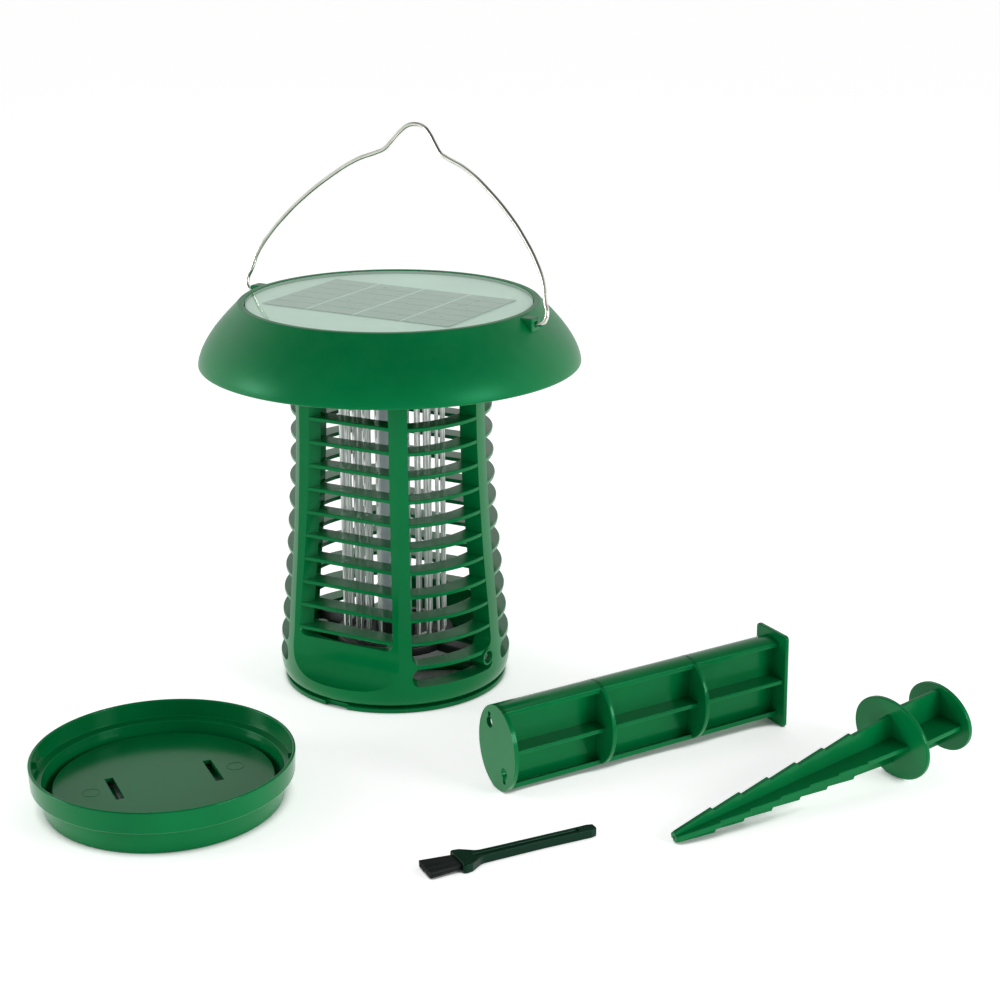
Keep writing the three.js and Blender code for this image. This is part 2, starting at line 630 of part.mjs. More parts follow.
// ---------- battery, its holder and its door ----------
const batteryZ = PLATE_TOP + 0.8 + CELL_R;
{
  add('battery_cell', bar([-CELL_LEN / 2, BATTERY_Y, batteryZ], [CELL_LEN / 2, BATTERY_Y, batteryZ], CELL_R, 24),
    material(0x3c6fa0, 0.4));
  const x = CELL_LEN / 2 + 0.6;
  const near = BATTERY_Y - CELL_R - 0.5;
  const far = BATTERY_Y + CELL_R + 0.5;
  const top = batteryZ + CELL_R + 0.5;
  const box = block(
    [-x - HOLDER_WALL, near - HOLDER_WALL, PLATE_TOP + GAP],
    [x + HOLDER_WALL, far + HOLDER_WALL, top + HOLDER_WALL],
  );
  add('battery_holder', box.subtract(block([-x, near, PLATE_TOP - 1], [x, far, top])), BLACK());
  const door = block(
    [-doorHalf + SLIP, doorNear + SLIP, PLATE_Z],
    [doorHalf - SLIP, doorFar - SLIP, PLATE_Z + DOOR_T],
  );
  const grip = block([-8, doorNear + 2.2, PLATE_Z - 1], [8, doorNear + 3.6, PLATE_Z + 0.5]);
  add('battery_door', door.subtract(grip), GREEN());
}

// ---------- bail ----------
// Half of the wire in its own plane, [distance from the middle, height above the pivots].
const bailHalf = [
  [lugOut - LUG_T + 0.7, 0], [lugOut + 1, 0], [lugOut + 3.6, 0.7], [lugOut + 4.9, 3], [lugOut + 5, 6.5],
  [lugOut + 3.6, 10.4], [lugOut + 0.9, 20], [78.4, 31], [71, 40.4], [63.2, 48.8], [47.2, 62.4],
  [32, 72.4], [21, 76.8], [16.8, 78.8], [13.2, 82.8], [8.6, 88.4], [4.6, 91.6],
];
{
  const points = bailHalf.map(([x, s]) => new THREE.Vector3(x, 0, s));
  const middle = new THREE.Vector3(0, 0, 92.6);
  const left = points.map((p) => new THREE.Vector3(-p.x, 0, p.z)).reverse();
  const mesh = add('bail_wire', tube([...points, middle, ...left], WIRE_D / 2, 8, 72), STEEL());
  mesh.position.set(0, 0, PIVOT_Z);
  mesh.rotation.x = -rad(BAIL_LEAN);
}

// ---------- catch tray ----------
{
  const group = new THREE.Group();
  group.position.set(TRAY_AT.x, TRAY_AT.y, 0);
  group.rotation.z = rad(TRAY_AT.turn);
  root.add(group);
  const seatR = FLANGE_R + TRAY_SLIP;
  const outR = seatR + TRAY_WALL;
  let tray = lathe([
    [0, TRAY_FLOOR - TRAY_FLOOR_T], [TRAY_FOOT_R - TRAY_WALL, TRAY_FLOOR - TRAY_FLOOR_T],
    [TRAY_FOOT_R - TRAY_WALL, 0], [TRAY_FOOT_R, 0], [TRAY_FOOT_R + 1.8, TRAY_SEAT - 3],
    [outR - 0.5, TRAY_SEAT - 1.8], [outR, TRAY_H], [seatR, TRAY_H], [seatR, TRAY_SEAT],
    [TRAY_FOOT_R + 0.4, TRAY_SEAT - 0.6], [TRAY_FOOT_R - 0.4, TRAY_FLOOR], [0, TRAY_FLOOR],
  ], 40);
  const slotMid = PLATE_H / 2 - 1.15;
  const slotW = 4;
  const slotHalf = PLATE_W / 2 - 0.5;
  for (const side of [-1, 1]) {
    const at = side * slotMid;
    tray = tray.subtract(block([at - slotW / 2, -slotHalf, 2], [at + slotW / 2, slotHalf, TRAY_FLOOR + 1]));
    const legIn = side * (PLATE_H / 2 + 0.9);
    const legOut = legIn + side * HOOK_T;
    const hookLow = TRAY_FLOOR - TRAY_FLOOR_T - RIB_T - 0.6 - HOOK_T;
    const leg = block(
      [Math.min(legIn, legOut), -slotHalf, hookLow],
      [Math.max(legIn, legOut), slotHalf, TRAY_FLOOR - 1],
    );
    const lipIn = side * (slotMid - slotW / 2 + 0.4);
    const lip = block(
      [Math.min(lipIn, legOut), -slotHalf, hookLow],
      [Math.max(lipIn, legOut), slotHalf, hookLow + HOOK_T],
    );
    tray = tray.add(leg).add(lip);
    const lugLow = TRAY_SEAT + FLANGE_T + GAP;
    const key = block([seatR - 2.2, -LUG_RUN / 2, lugLow], [seatR + 0.6, LUG_RUN / 2, lugLow + GROOVE_H - 0.4]);
    tray = tray.add(turned(key, side * 90 + 66));
  }
  add('catch_tray', tray, GREEN(), group);
}

// ---------- extension post, lying on its oval end and its plate ----------
{
  const group = new THREE.Group();
  group.position.set(POST_AT.x, POST_AT.y, OVAL_H / 2 + LIE);
  const drop = Math.asin((PLATE_H - OVAL_H) / 2 / POST_L);
  group.rotation.set(0, -drop, rad(POST_AT.turn), 'ZYX');
  root.add(group);
  const across = (outline, x0, x1) => prism(outline, x0, x1).rotate([90, 0, 90]);
  const oval = ellipse(OVAL_W / 2, OVAL_H / 2);
  const parts = [0, 1, 2].map((i) => {
    const x = (POST_L * i) / 3;
    return across(oval, x, x + RIB_T);
  });
  parts.push(across(rectangle(PLATE_W / 2, PLATE_H / 2, 2), POST_L - RIB_T, POST_L));
  const core = across(oval, 0.2, POST_L - 0.2);
  const hollow = across(ellipse(OVAL_W / 2 - RIB_T, OVAL_H / 2 - RIB_T), -1, POST_L + 1);
  const caps = core.subtract(hollow).intersect(block([0, -CAP_W / 2, -OVAL_H], [POST_L, CAP_W / 2, OVAL_H]));
  parts.push(caps);
  parts.push(block([0.2, -RIB_T / 2, -OVAL_H / 2 + 1], [POST_L - 0.2, RIB_T / 2, OVAL_H / 2 - 1]));
  parts.push(block([0.2, -MIDDLE_RIB_W / 2, -RIB_T / 2], [POST_L - 0.2, MIDDLE_RIB_W / 2, RIB_T / 2]));
  let post = union(parts);
  for (const side of [-1, 1]) {
    const [y, z] = [side * 6.5, side * 10.6];
    const round = bar([-1, y, z], [RIB_T + 0.6, y, z], KEYHOLE_R, 16);
    const slot = block([-1, y - 1.2, z - (side < 0 ? 5.4 : 0)], [RIB_T + 0.6, y + 1.2, z + (side > 0 ? 5.4 : 0)]);
    post = post.subtract(round).subtract(slot);
  }
  add('extension_post', post, GREEN(), group);
}

// ---------- ground stake, lying on its larger oval and its first barb ----------
{
  const first = BLADE_L - BARB_PITCH * (BARBS - 1) - BARE_L;
  const tilt = Math.atan((STAKE_OVAL_H / 2 - FIN_START) / (BLADE_L - first));
  const group = new THREE.Group();
  group.position.set(STAKE_AT.x, STAKE_AT.y, (STAKE_OVAL_H / 2) * Math.cos(tilt) + LIE);
  group.rotation.set(0, -tilt, rad(STAKE_AT.turn), 'ZYX');
  root.add(group);
  const across = (outline, x0, x1) => prism(outline, x0, x1).rotate([90, 0, 90]);
  const topScale = OVAL_W / STAKE_OVAL_H - 0.01;
  const parts = [
    across(ellipse(STAKE_OVAL_W / 2, STAKE_OVAL_H / 2), 0, RIB_T),
    across(ellipse((STAKE_OVAL_W / 2) * topScale, (STAKE_OVAL_H / 2) * topScale), NECK_L - RIB_T, NECK_L),
  ];
  const neckZ = (STAKE_OVAL_H / 2) * topScale - 2;
  const neckY = (STAKE_OVAL_W / 2) * topScale - 5;
  parts.push(block([0.2, -FIN_T / 2, -neckZ], [NECK_L - 0.2, FIN_T / 2, neckZ]));
  parts.push(block([0.2, -neckY, -FIN_T / 2], [NECK_L - 0.2, neckY, FIN_T / 2]));
  // half outline of a fin from the tip to the disc, with a step back behind each barb
  const edge = [[-BLADE_L, FIN_TIP]];
  for (let i = 0; i < BARBS; i++) {
    const far = first + BARB_PITCH * i;
    const half = FIN_START + ((FIN_ROOT - 0.6 - FIN_START) * i) / (BARBS - 1);
    edge.push([-BLADE_L + far, half], [-BLADE_L + far + 0.9, half - BARB_STEP]);
  }
  edge.push([0.2, FIN_ROOT]);
  const outline = [...edge, ...edge.map(([x, y]) => [x, -y]).reverse()];
  const flat = prism(outline, -FIN_T / 2, FIN_T / 2);
  parts.push(flat, flat.rotate([90, 0, 0]));
  for (const side of [-1, 1]) {
    const [y, z] = [side * 10.6, side * 5];
    parts.push(block([NECK_L - 0.5, y - 1, z - 1.8], [NECK_L + 4.2, y + 1, z + 1.8]));
    parts.push(block([NECK_L + 2.8, y - 1, z - 1.8], [NECK_L + 4.2, y + 1, z + 4]));
  }
  add('ground_stake', union(parts), GREEN(), group);
}

// ---------- cleaning brush ----------
{
  const group = new THREE.Group();
  group.position.set(BRUSH_AT.x, BRUSH_AT.y, 0);
  group.rotation.z = rad(BRUSH_AT.turn);
  root.add(group);
  const head = BRUSH_HEAD_W / 2;
  const grip = BRUSH_GRIP_W / 2;
  const headL = 8;
  const half = [
    [BRISTLE_L, head - 2], [BRISTLE_L + 1.5, head - 1.6], [BRISTLE_L + 4, head], [BRISTLE_L + headL, head - 1.2],
    [BRISTLE_L + headL + 4, grip - 0.3], [BRUSH_L - 22, grip - 0.2], [BRUSH_L - 4, grip], [BRUSH_L, grip - 1],
  ];
  const outline = [...half, ...half.map(([x, y]) => [x, -y]).reverse()];
  add('brush_handle', prism(outline, 0, BRUSH_T), material(0x12342a, 0.45), group);
  const mid = BRUSH_T / 2;
  const tuft = [
    [0, -head + 1.4], [BRISTLE_L - GAP, -head + 2.6], [BRISTLE_L - GAP, head - 2.6], [0, head - 1.4],
  ];
  add('brush_bristles', prism(tuft, mid - BRISTLE_T / 2, mid + BRISTLE_T / 2), BLACK(), group);
}

export default root;
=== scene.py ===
"""Fine surfaces, finishes and a plain stage for a solar garden bug zapper and its loose pieces.

Metres, +Z up. The origin is the middle of the lamp's foot, +X runs along the bail's pivots and -Y is
the side of the flat window. Each operator builds one piece or one group of like pieces.
"""

import json
import math
import random

import bmesh
import bpy
from bpy.props import FloatProperty, FloatVectorProperty, IntProperty, PointerProperty
from mathutils import Matrix, Vector


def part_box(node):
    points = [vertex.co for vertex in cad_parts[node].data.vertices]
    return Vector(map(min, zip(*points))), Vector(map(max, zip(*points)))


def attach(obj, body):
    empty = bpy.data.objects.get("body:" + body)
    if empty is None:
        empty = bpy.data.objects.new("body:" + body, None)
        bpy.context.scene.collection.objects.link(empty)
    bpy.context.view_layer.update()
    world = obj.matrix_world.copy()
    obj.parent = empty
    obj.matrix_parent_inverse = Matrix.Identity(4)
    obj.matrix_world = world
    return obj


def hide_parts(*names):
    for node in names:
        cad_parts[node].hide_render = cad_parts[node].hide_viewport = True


bl_info = {
    "name": "Garden bug zapper",
    "version": (1, 0, 0),
    "blender": (4, 5, 0),
    "location": "3D View > Sidebar > Zapper",
    "description": "Builds the lamp, its loose pieces and a plain stage around the packed frame",
    "category": "Object",
}

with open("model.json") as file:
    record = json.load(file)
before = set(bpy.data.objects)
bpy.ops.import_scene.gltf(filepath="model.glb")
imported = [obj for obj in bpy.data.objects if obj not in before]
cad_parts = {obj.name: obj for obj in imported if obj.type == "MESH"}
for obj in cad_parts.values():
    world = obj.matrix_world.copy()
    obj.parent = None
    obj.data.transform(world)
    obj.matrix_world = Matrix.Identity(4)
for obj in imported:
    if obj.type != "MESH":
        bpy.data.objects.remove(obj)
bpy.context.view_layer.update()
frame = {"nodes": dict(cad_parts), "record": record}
MM = 0.001
TINY = 0.001 * MM
CUT_SEAM = 0.004 * MM

# places read from the frame
HOOD_LOW, HOOD_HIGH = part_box("hood_shell")
PLATE_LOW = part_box("hood_base_plate")[0]
PLATE_TOP_Z = PLATE_LOW.z + 2.2 * MM
CAGE_LOW, CAGE_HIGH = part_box("cage_front")
FOOT_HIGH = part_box("base_ring")[1]
COVER_LOW, COVER_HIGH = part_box("solar_cover")
BACKING_LOW, BACKING_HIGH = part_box("solar_backing")
CELLS_LOW, CELLS_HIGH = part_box("solar_cells")
GRID_LOW, GRID_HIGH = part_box("outer_grid")
TUBE_LOW, TUBE_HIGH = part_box("light_tube")
HOLDER_LOW, HOLDER_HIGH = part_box("grid_base_holder")
TRAY_LOW, TRAY_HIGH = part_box("catch_tray")
TRAY_MIDDLE = (TRAY_LOW + TRAY_HIGH) / 2
DOOR_LOW, DOOR_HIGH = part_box("battery_door")
BUTTON_LOW, BUTTON_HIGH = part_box("power_button")

# turns in degrees about the lamp's axis
CAGE_YAW = 2.0
POST_STEP = 33.4
SIDE_SCREWS = (-8.5, 171.5)
ROUND_SPANS = ((-90 + POST_STEP, 0), (0, 90 - POST_STEP), (90 + POST_STEP, 180), (180, 270 - POST_STEP))

# fits and places that more than one piece follows
SLIP = 0.4 * MM
LIE = 0.05 * MM
PIVOT_Z = HOOD_HIGH.z - 3.9 * MM
GUIDE_RADIUS = 4 * MM
CROSS_SCREW = (3 * MM, 1.8 * MM, 1.5 * MM)
POST_PLACE = (117.1 * MM, -100.2 * MM)
STAKE_PLACE = (273.2 * MM, 0.8 * MM)
BRUSH_PLACE = (128.8 * MM, -185.5 * MM, 0)


# ---------- what a user would change ----------
def size(label, text, default, low=0.0):
    return FloatProperty(name=label, description=text, default=default, min=low, unit="LENGTH", precision=5)


def turn(label, text, degrees):
    return FloatProperty(name=label, description=text, default=math.radians(degrees), unit="ROTATION")


def power(label, text, default):
    return FloatProperty(name=label, description=text, default=default, min=0, unit="POWER")


def share(label, text, default):
    return FloatProperty(name=label, description=text, default=default, min=0, subtype="FACTOR")


def colour(label, text, default):
    return FloatVectorProperty(name=label, description=text, default=default, subtype="COLOR", min=0, max=1)


class ZapperHoodSizes(bpy.types.PropertyGroup):
    lip_radius: size("Lip radius", "Outer radius of the hood's lower edge", HOOD_HIGH.x)
    rim_radius: size("Rim radius", "Outer radius of the rim round the solar panel", 75.6 * MM)
    rim_width: size("Rim width", "Width of the rim's flat top", 2.4 * MM)
    rim_depth: size("Rim depth", "Depth of the seat of the solar panel", 4 * MM)
    wall: size("Wall", "Thickness of the hood", 2.4 * MM)
    lug_reach: size("Lug reach", "How far the bail's lugs stand out from the rim", 8.2 * MM)
    lug_width: size("Lug width", "Width of a bail lug", 8 * MM)


class ZapperCageSizes(bpy.types.PropertyGroup):
    top_radius: size("Top radius", "Radius of the cage at its upper end", 51.5 * MM)
    waist_radius: size("Waist radius", "Radius at three quarters of the height", 52.4 * MM)
    low_radius: size("Low radius", "Radius at a quarter of the height", 58.5 * MM)
    skirt_radius: size("Skirt radius", "Largest radius of the skirt", 60.8 * MM)
    skirt_tuck: size("Skirt tuck", "How far the skirt draws in at its lower edge", 2.9 * MM)
    post_depth: size("Post depth", "Depth of the posts towards the middle", 9.5 * MM)
    post_width: size("Post width", "Width of the posts", 9.3 * MM)
    facet_depth: size("Facet depth", "How deep the flat windows are cut in", 8.6 * MM)
    facet_sill: size("Facet sill", "Height of the flat windows' sill over the cage's foot", 29 * MM)
    round_sill: size("Round sill", "Height of the round windows' sill over the cage's foot", 10.5 * MM)
    head_band: size("Head band", "Height of the closed band over the windows", 7.4 * MM)
    slat: size("Slat thickness", "Thickness of a louvre slat", 2 * MM)
    slat_pitch: size("Slat pitch", "Height from one slat to the next", 12.25 * MM)
    slat_depth: size("Slat depth", "Depth of a slat towards the middle", 10.8 * MM)
    slats: IntProperty(name="Slats", description="Rows of slats", default=12, min=1, max=20)
    corner: size("Window corner", "Radius of the windows' corners", 4.6 * MM)
    edge: size("Edge radius", "Rounding of the moulded edges", 0.5 * MM)
    facet_edge: size("Facet edge radius", "Rounding where the flat facets meet the round wall", 1.1 * MM)
    slot: size("Lowest slot", "Height of the lowest gap of a round window", 9.4 * MM)


class ZapperWireSizes(bpy.types.PropertyGroup):
    bail: size("Bail wire", "Diameter of the bail's wire", 2.2 * MM)
    lean: turn("Bail lean", "How far the bail leans to the back", 17.5)
    grid: size("Grid wire", "Diameter of the grids' wires", 1.7 * MM)
    outer_wires: IntProperty(name="Outer wires", description="Wires of the outer grid", default=24, min=3)
    inner_wires: IntProperty(name="Inner wires", description="Wires of the inner grid", default=18, min=3)


class ZapperLooseSizes(bpy.types.PropertyGroup):
    tray_turn: turn("Tray turn", "Turn of the catch tray on the ground", 52.8)
    tray_wall: size("Tray wall", "Wall of the catch tray", 1.6 * MM)
    post_turn: turn("Post turn", "Turn of the extension post on the ground", 58.5)
    post_length: size("Post length", "Length of the extension post", 160 * MM)
    oval_width: size("Oval width", "Width of the post's ovals", 33.8 * MM)
    oval_height: size("Oval height", "Height of the post's ovals", 42.4 * MM)
    plate_width: size("Plate width", "Width of the post's end plate", 24 * MM)
    plate_height: size("Plate height", "Height of the post's end plate", 49 * MM)
    cap_width: size("Cap width", "Width of the curved caps along the post's top and bottom", 12 * MM)
    middle_rib: size("Middle rib width", "Width of the post's level rib", 21 * MM)
    rib: size("Rib thickness", "Thickness of ribs and discs", 2.2 * MM)
    stake_turn: turn("Stake turn", "Turn of the ground stake on the ground", 60.8)
    blade_length: size("Blade length", "Length of the stake's blade", 127.5 * MM)
    neck_length: size("Neck length", "Height of the stake's neck with its ovals", 32.8 * MM)
    stake_width: size("Stake oval width", "Width of the stake's larger oval", 49.2 * MM)
    stake_height: size("Stake oval height", "Height of the stake's larger oval", 40.2 * MM)
    fin: size("Fin thickness", "Thickness of the stake's fins", 2.4 * MM)
    brush_turn: turn("Brush turn", "Turn of the brush on the ground", 54.8)
    brush_length: size("Brush length", "Length of the brush with its bristles", 83 * MM)
    bristle_length: size("Bristle length", "Length of the bristles that shows", 15 * MM)
    bristles: IntProperty(name="Bristles", description="Number of bristles", default=1500, min=1)


class ZapperFinishes(bpy.types.PropertyGroup):
    gloss_green: colour("Gloss green", "Cage, tray, post and stake", (0.0003, 0.160, 0.041))
    satin_green: colour("Satin green", "Hood and battery door", (0.0003, 0.158, 0.042))
    mint: colour("Mint", "Backing of the solar panel", (0.70, 1.0, 0.80))
    cell: colour("Cell", "Solar strips", (0.19, 0.36, 0.26))
    steel: colour("Steel", "Bail and screws", (0.60, 0.61, 0.54))
    chrome: colour("Chrome", "Grid wires", (0.86, 0.89, 0.87))
    tube: colour("Tube", "Frosted light tube", (0.62, 0.70, 0.74))
    black: colour("Black", "Holders and button", (0.006, 0.008, 0.008))
    brush: colour("Brush green", "Handle of the brush", (0.001, 0.016, 0.008))
    floor: colour("Floor", "Plain pale floor", (0.90, 0.90, 0.90))


class ZapperStageSettings(bpy.types.PropertyGroup):
    lens: FloatProperty(name="Lens", description="Focal length of the camera", default=70.09, unit="CAMERA")
    distance: size("Camera distance", "From the camera to the point that it looks at", 1.09)
    azimuth: turn("Azimuth", "How far the camera stands round to the right", 28.8)
    pitch: turn("Pitch", "How far the camera looks down", 18.125)
    key: power("Key light", "Power of the overhead softbox", 2.0)
    side: power("Side lights", "Power of the side softboxes", 6.0)
    fill: share("Fill", "Strength of the bright walls", 1.1)
    dark: share("Viewer's corner", "Share of the light behind the viewer", 0.42)
    behind: share("Far wall", "Share of the light from the far wall", 0.7)
    ceiling: share("Ceiling", "Share of the light from the ceiling", 0.12)
    glow: share("Floor glow", "Light of the table under the object", 0.6)


# ---------- mesh helpers ----------
def polar(radius, degrees, z=0.0):
    angle = math.radians(degrees)
    return Vector((radius * math.cos(angle), radius * math.sin(angle), z))


def clean(bm):
    """Merges doubles, closes open ends and turns every face outwards."""
    bmesh.ops.remove_doubles(bm, verts=bm.verts, dist=TINY)
    bmesh.ops.dissolve_degenerate(bm, dist=TINY, edges=bm.edges)
    open_edges = [edge for edge in bm.edges if edge.is_boundary]
    if open_edges:
        bmesh.ops.holes_fill(bm, edges=open_edges, sides=0)
    bmesh.ops.recalc_face_normals(bm, faces=bm.faces)
    return bm


def filleted(corners, closed=True, steps=4):
    """An outline whose corners, given as (x, y, radius), are rounded."""
    outline = []
    count = len(corners)
    for i, (x, y, radius) in enumerate(corners):
        here = Vector((x, y))
        if radius == 0 or (not closed and i in (0, count - 1)):
            outline.append(here)
            continue
        before = Vector(corners[i - 1][:2]) - here
        after = Vector(corners[(i + 1) % count][:2]) - here
        half = before.angle(after) / 2
        reach = min(radius / math.tan(half), 0.48 * before.length, 0.48 * after.length)
        start = here + before.normalized() * reach
        middle = (before.normalized() + after.normalized()).normalized()
        centre = here + middle * (reach / math.cos(half))
        sweep = math.pi - 2 * half
        if before.x * after.y - before.y * after.x > 0:
            sweep = -sweep
        for step in range(steps + 1):
            arm = Matrix.Rotation(sweep * step / steps, 2) @ (start - centre)
            outline.append(centre + arm)
    return outline


def lathe(profile, steps=144):
    """A full turn about Z of (radius, height) points, closed by itself or by the axis."""
    bm = bmesh.new()
    verts = [bm.verts.new((point[0], 0, point[1])) for point in profile]
    edges = [bm.edges.new(pair) for pair in zip(verts, verts[1:])]
    if profile[0][0] > TINY:
        edges.append(bm.edges.new((verts[-1], verts[0])))
    bmesh.ops.spin(
        bm, geom=verts + edges, cent=(0, 0, 0), axis=(0, 0, 1), angle=math.tau, steps=steps, use_merge=True,
    )
    return clean(bm)


def arc_strip(profile, start, end, steps):
    """A closed profile turned part of the way round Z, from start to end in degrees."""
    bm = bmesh.new()
    verts = [bm.verts.new((point[0], 0, point[1])) for point in profile]
    face = bm.faces.new(verts)
    bmesh.ops.rotate(bm, verts=verts, cent=(0, 0, 0), matrix=Matrix.Rotation(math.radians(start), 3, "Z"))
    bmesh.ops.spin(
        bm, geom=[face], cent=(0, 0, 0), axis=(0, 0, 1), angle=math.radians(end - start), steps=steps,
    )
    return clean(bm)


def prism(outline, low, high):
    """An outline in X and Y, extruded from low to high."""
    bm = bmesh.new()
    face = bm.faces.new([bm.verts.new((point[0], point[1], low)) for point in outline])
    raised = bmesh.ops.extrude_face_region(bm, geom=[face])["geom"]
    verts = [item for item in raised if isinstance(item, bmesh.types.BMVert)]
    bmesh.ops.translate(bm, verts=verts, vec=(0, 0, high - low))
    return clean(bm)


def block(low, high, soft=0.0, segments=2):
    """A box from its lowest and highest corners, with rounded edges."""
    bm = bmesh.new()
    low, high = Vector(low), Vector(high)
    place = Matrix.Translation((low + high) / 2) @ Matrix.Diagonal((*(high - low), 1))
    bmesh.ops.create_cube(bm, size=1, matrix=place)
    if soft:
        soften(bm, soft, segments=segments)
    return bm


def bar(start, end, radius, segments=24, tip=None):
    """A round bar or cone from one point to another."""
    bm = bmesh.new()
    start, end = Vector(start), Vector(end)
    way = (end - start).to_track_quat("Z", "Y").to_matrix().to_4x4()
    place = Matrix.Translation((start + end) / 2) @ way
    far = radius if tip is None else tip
    bmesh.ops.create_cone(
        bm, cap_ends=True, segments=segments, radius1=radius, radius2=far, depth=(end - start).length,
        matrix=place,
    )
    return bm


def soften(bm, width, degrees=25, segments=2):
    """Rounds every edge that is sharper than so many degrees."""
    limit = math.radians(degrees)
    sharp = [edge for edge in bm.edges if edge.is_manifold and edge.calc_face_angle() > limit]
    bmesh.ops.bevel(
        bm, geom=sharp, offset=width, offset_type="OFFSET", segments=segments, profile=0.5, affect="EDGES",
        clamp_overlap=True, material=-1,
    )
    return bm


def gather(*shapes):
    """One bmesh that holds every shape."""
    whole = bmesh.new()
    for shape in shapes:
        mesh = bpy.data.meshes.new("part")
        shape.to_mesh(mesh)
        shape.free()
        whole.from_mesh(mesh)
        bpy.data.meshes.remove(mesh)
    return whole


def placed(bm, matrix):
    """The shape moved by a matrix."""
    bmesh.ops.transform(bm, matrix=matrix, verts=bm.verts)
    return bm


def turned(bm, degrees):
    """The shape turned about Z."""
    return placed(bm, Matrix.Rotation(math.radians(degrees), 4, "Z"))


def new_object(name, bm):
    mesh = bpy.data.meshes.new(name)
    bm.to_mesh(mesh)
    bm.free()
    made = bpy.data.objects.new(name, mesh)
    bpy.context.scene.collection.objects.link(made)
    return made


def carved(bm, tool, operation="DIFFERENCE"):
    """The first solid after the second is cut from it or joined to it."""
    solid = new_object("solid", bm)
    cutter = new_object("cutter", tool)
    step = solid.modifiers.new("carve", "BOOLEAN")
    step.object = cutter
    step.operation = operation
    step.solver = "MANIFOLD"
    held = solid.evaluated_get(bpy.context.evaluated_depsgraph_get())
    result = bmesh.new()
    result.from_mesh(held.data)
    if not result.faces:
        raise RuntimeError("a cut left nothing")
    for made in (solid, cutter):
        mesh = made.data
        bpy.data.objects.remove(made)
        bpy.data.meshes.remove(mesh)
    bmesh.ops.remove_doubles(result, verts=result.verts, dist=CUT_SEAM)
    bmesh.ops.dissolve_degenerate(result, dist=CUT_SEAM, edges=result.edges)
    return result


def piece(name, bm, body, material, slot, *nodes, smooth=34):
    """The finished object, riding on its body in place of the nodes that it stands for."""
    made = new_object(name, bm)
    made.data.materials.append(material)
    made.data.shade_smooth()
    made.data.set_sharp_from_angle(angle=math.radians(smooth))
    even = made.modifiers.new("even_normals", "WEIGHTED_NORMAL")
    even.keep_sharp = True
    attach(made, body)
    if nodes:
        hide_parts(*nodes)
    return made


# ---------- node helpers ----------
def add(tree, kind, inputs=None, **settings):
    """A node with its settings, and its inputs as values or as sockets to link."""
    node = tree.nodes.new(kind)
    for name, value in settings.items():
        setattr(node, name, value)
    for socket, value in (inputs or {}).items():
        if isinstance(value, bpy.types.NodeSocket):
            tree.links.new(value, node.inputs[socket])
        else:
            node.inputs[socket].default_value = value
    return node


def noise(tree, vector, scale, detail=2.0, roughness=0.5):
    values = {"Vector": vector, "Scale": scale, "Detail": detail, "Roughness": roughness}
    return add(tree, "ShaderNodeTexNoise", values).outputs["Fac"]


def spread(tree, value, low, high, to_low=0.0, to_high=1.0):
    """The value moved from one range to another and held inside it."""
    values = {"Value": value, "From Min": low, "From Max": high, "To Min": to_low, "To Max": to_high}
    return add(tree, "ShaderNodeMapRange", values, clamp=True).outputs["Result"]


def maths(tree, operation, first, second):
    return add(tree, "ShaderNodeMath", {0: first, 1: second}, operation=operation).outputs[0]


def shaded(tree, value, tint):
    """A colour made darker or lighter."""
    return add(tree, "ShaderNodeHueSaturation", {"Value": value, "Color": tint}).outputs["Color"]


def vector_maths(tree, operation, first, second, output):
    return add(tree, "ShaderNodeVectorMath", {0: first, 1: second}, operation=operation).outputs[output]


def blended(tree, factor, first, second, mode="MIX"):
    node = add(tree, "ShaderNodeMix", data_type="RGBA", blend_type=mode)
    for socket, value in ((node.inputs[0], factor), (node.inputs[6], first), (node.inputs[7], second)):
        if isinstance(value, bpy.types.NodeSocket):
            tree.links.new(value, socket)
        else:
            socket.default_value = value
    return node.outputs[2]


def rgba(values):
    return (*values[:3], 1.0)


def node_group(name, inputs, outputs):
    """An empty shader group with named float, colour and vector sockets, given as (name, kind, default)."""
    group = bpy.data.node_groups.new(name, "ShaderNodeTree")
    for label, kind, default in inputs:
        socket = group.interface.new_socket(label, in_out="INPUT", socket_type=f"NodeSocket{kind}")
        if default is not None:
            socket.default_value = default
    for label, kind in outputs:
        group.interface.new_socket(label, in_out="OUTPUT", socket_type=f"NodeSocket{kind}")
    start = group.nodes.new("NodeGroupInput")
    end = group.nodes.new("NodeGroupOutput")
    return group, start.outputs, end.inputs


def moulded_surface():
    """Injection-moulded plastic: slow drift of shade, fine grain and sharp edges made paler by a painted
    highlight.
    """
    group, given, out = node_group(
        "Moulded surface",
        [
            ("Vector", "Vector", None), ("Colour", "Color", (0.1, 0.1, 0.1, 1)),
            ("Roughness", "Float", 0.4), ("Drift Scale", "Float", 30.0),
            ("Grain Scale", "Float", 2600.0), ("Edge Light", "Float", 0.2),
        ],
        [("Colour", "Color"), ("Roughness", "Float"), ("Height", "Float")],
    )
    drift = noise(group, given["Vector"], given["Drift Scale"], 3.0)
    shade = spread(group, drift, 0.3, 0.7, 0.90, 1.08)
    tinted = shaded(group, shade, given["Colour"])
    # painted highlight: sharp edges, found by pointiness, blend towards a pale green as if they caught the
    # light
    edge = spread(group, add(group, "ShaderNodeNewGeometry").outputs["Pointiness"], 0.54, 0.66)
    lit = blended(group, maths(group, "MULTIPLY", edge, given["Edge Light"]), tinted, (0.45, 0.62, 0.5, 1))
    group.links.new(lit, out["Colour"])
    rough = maths(group, "ADD", given["Roughness"], spread(group, drift, 0.3, 0.7, -0.03, 0.04))
    group.links.new(rough, out["Roughness"])
    grain = noise(group, given["Vector"], given["Grain Scale"], 2.0, 0.6)
    group.links.new(grain, out["Height"])
    return group


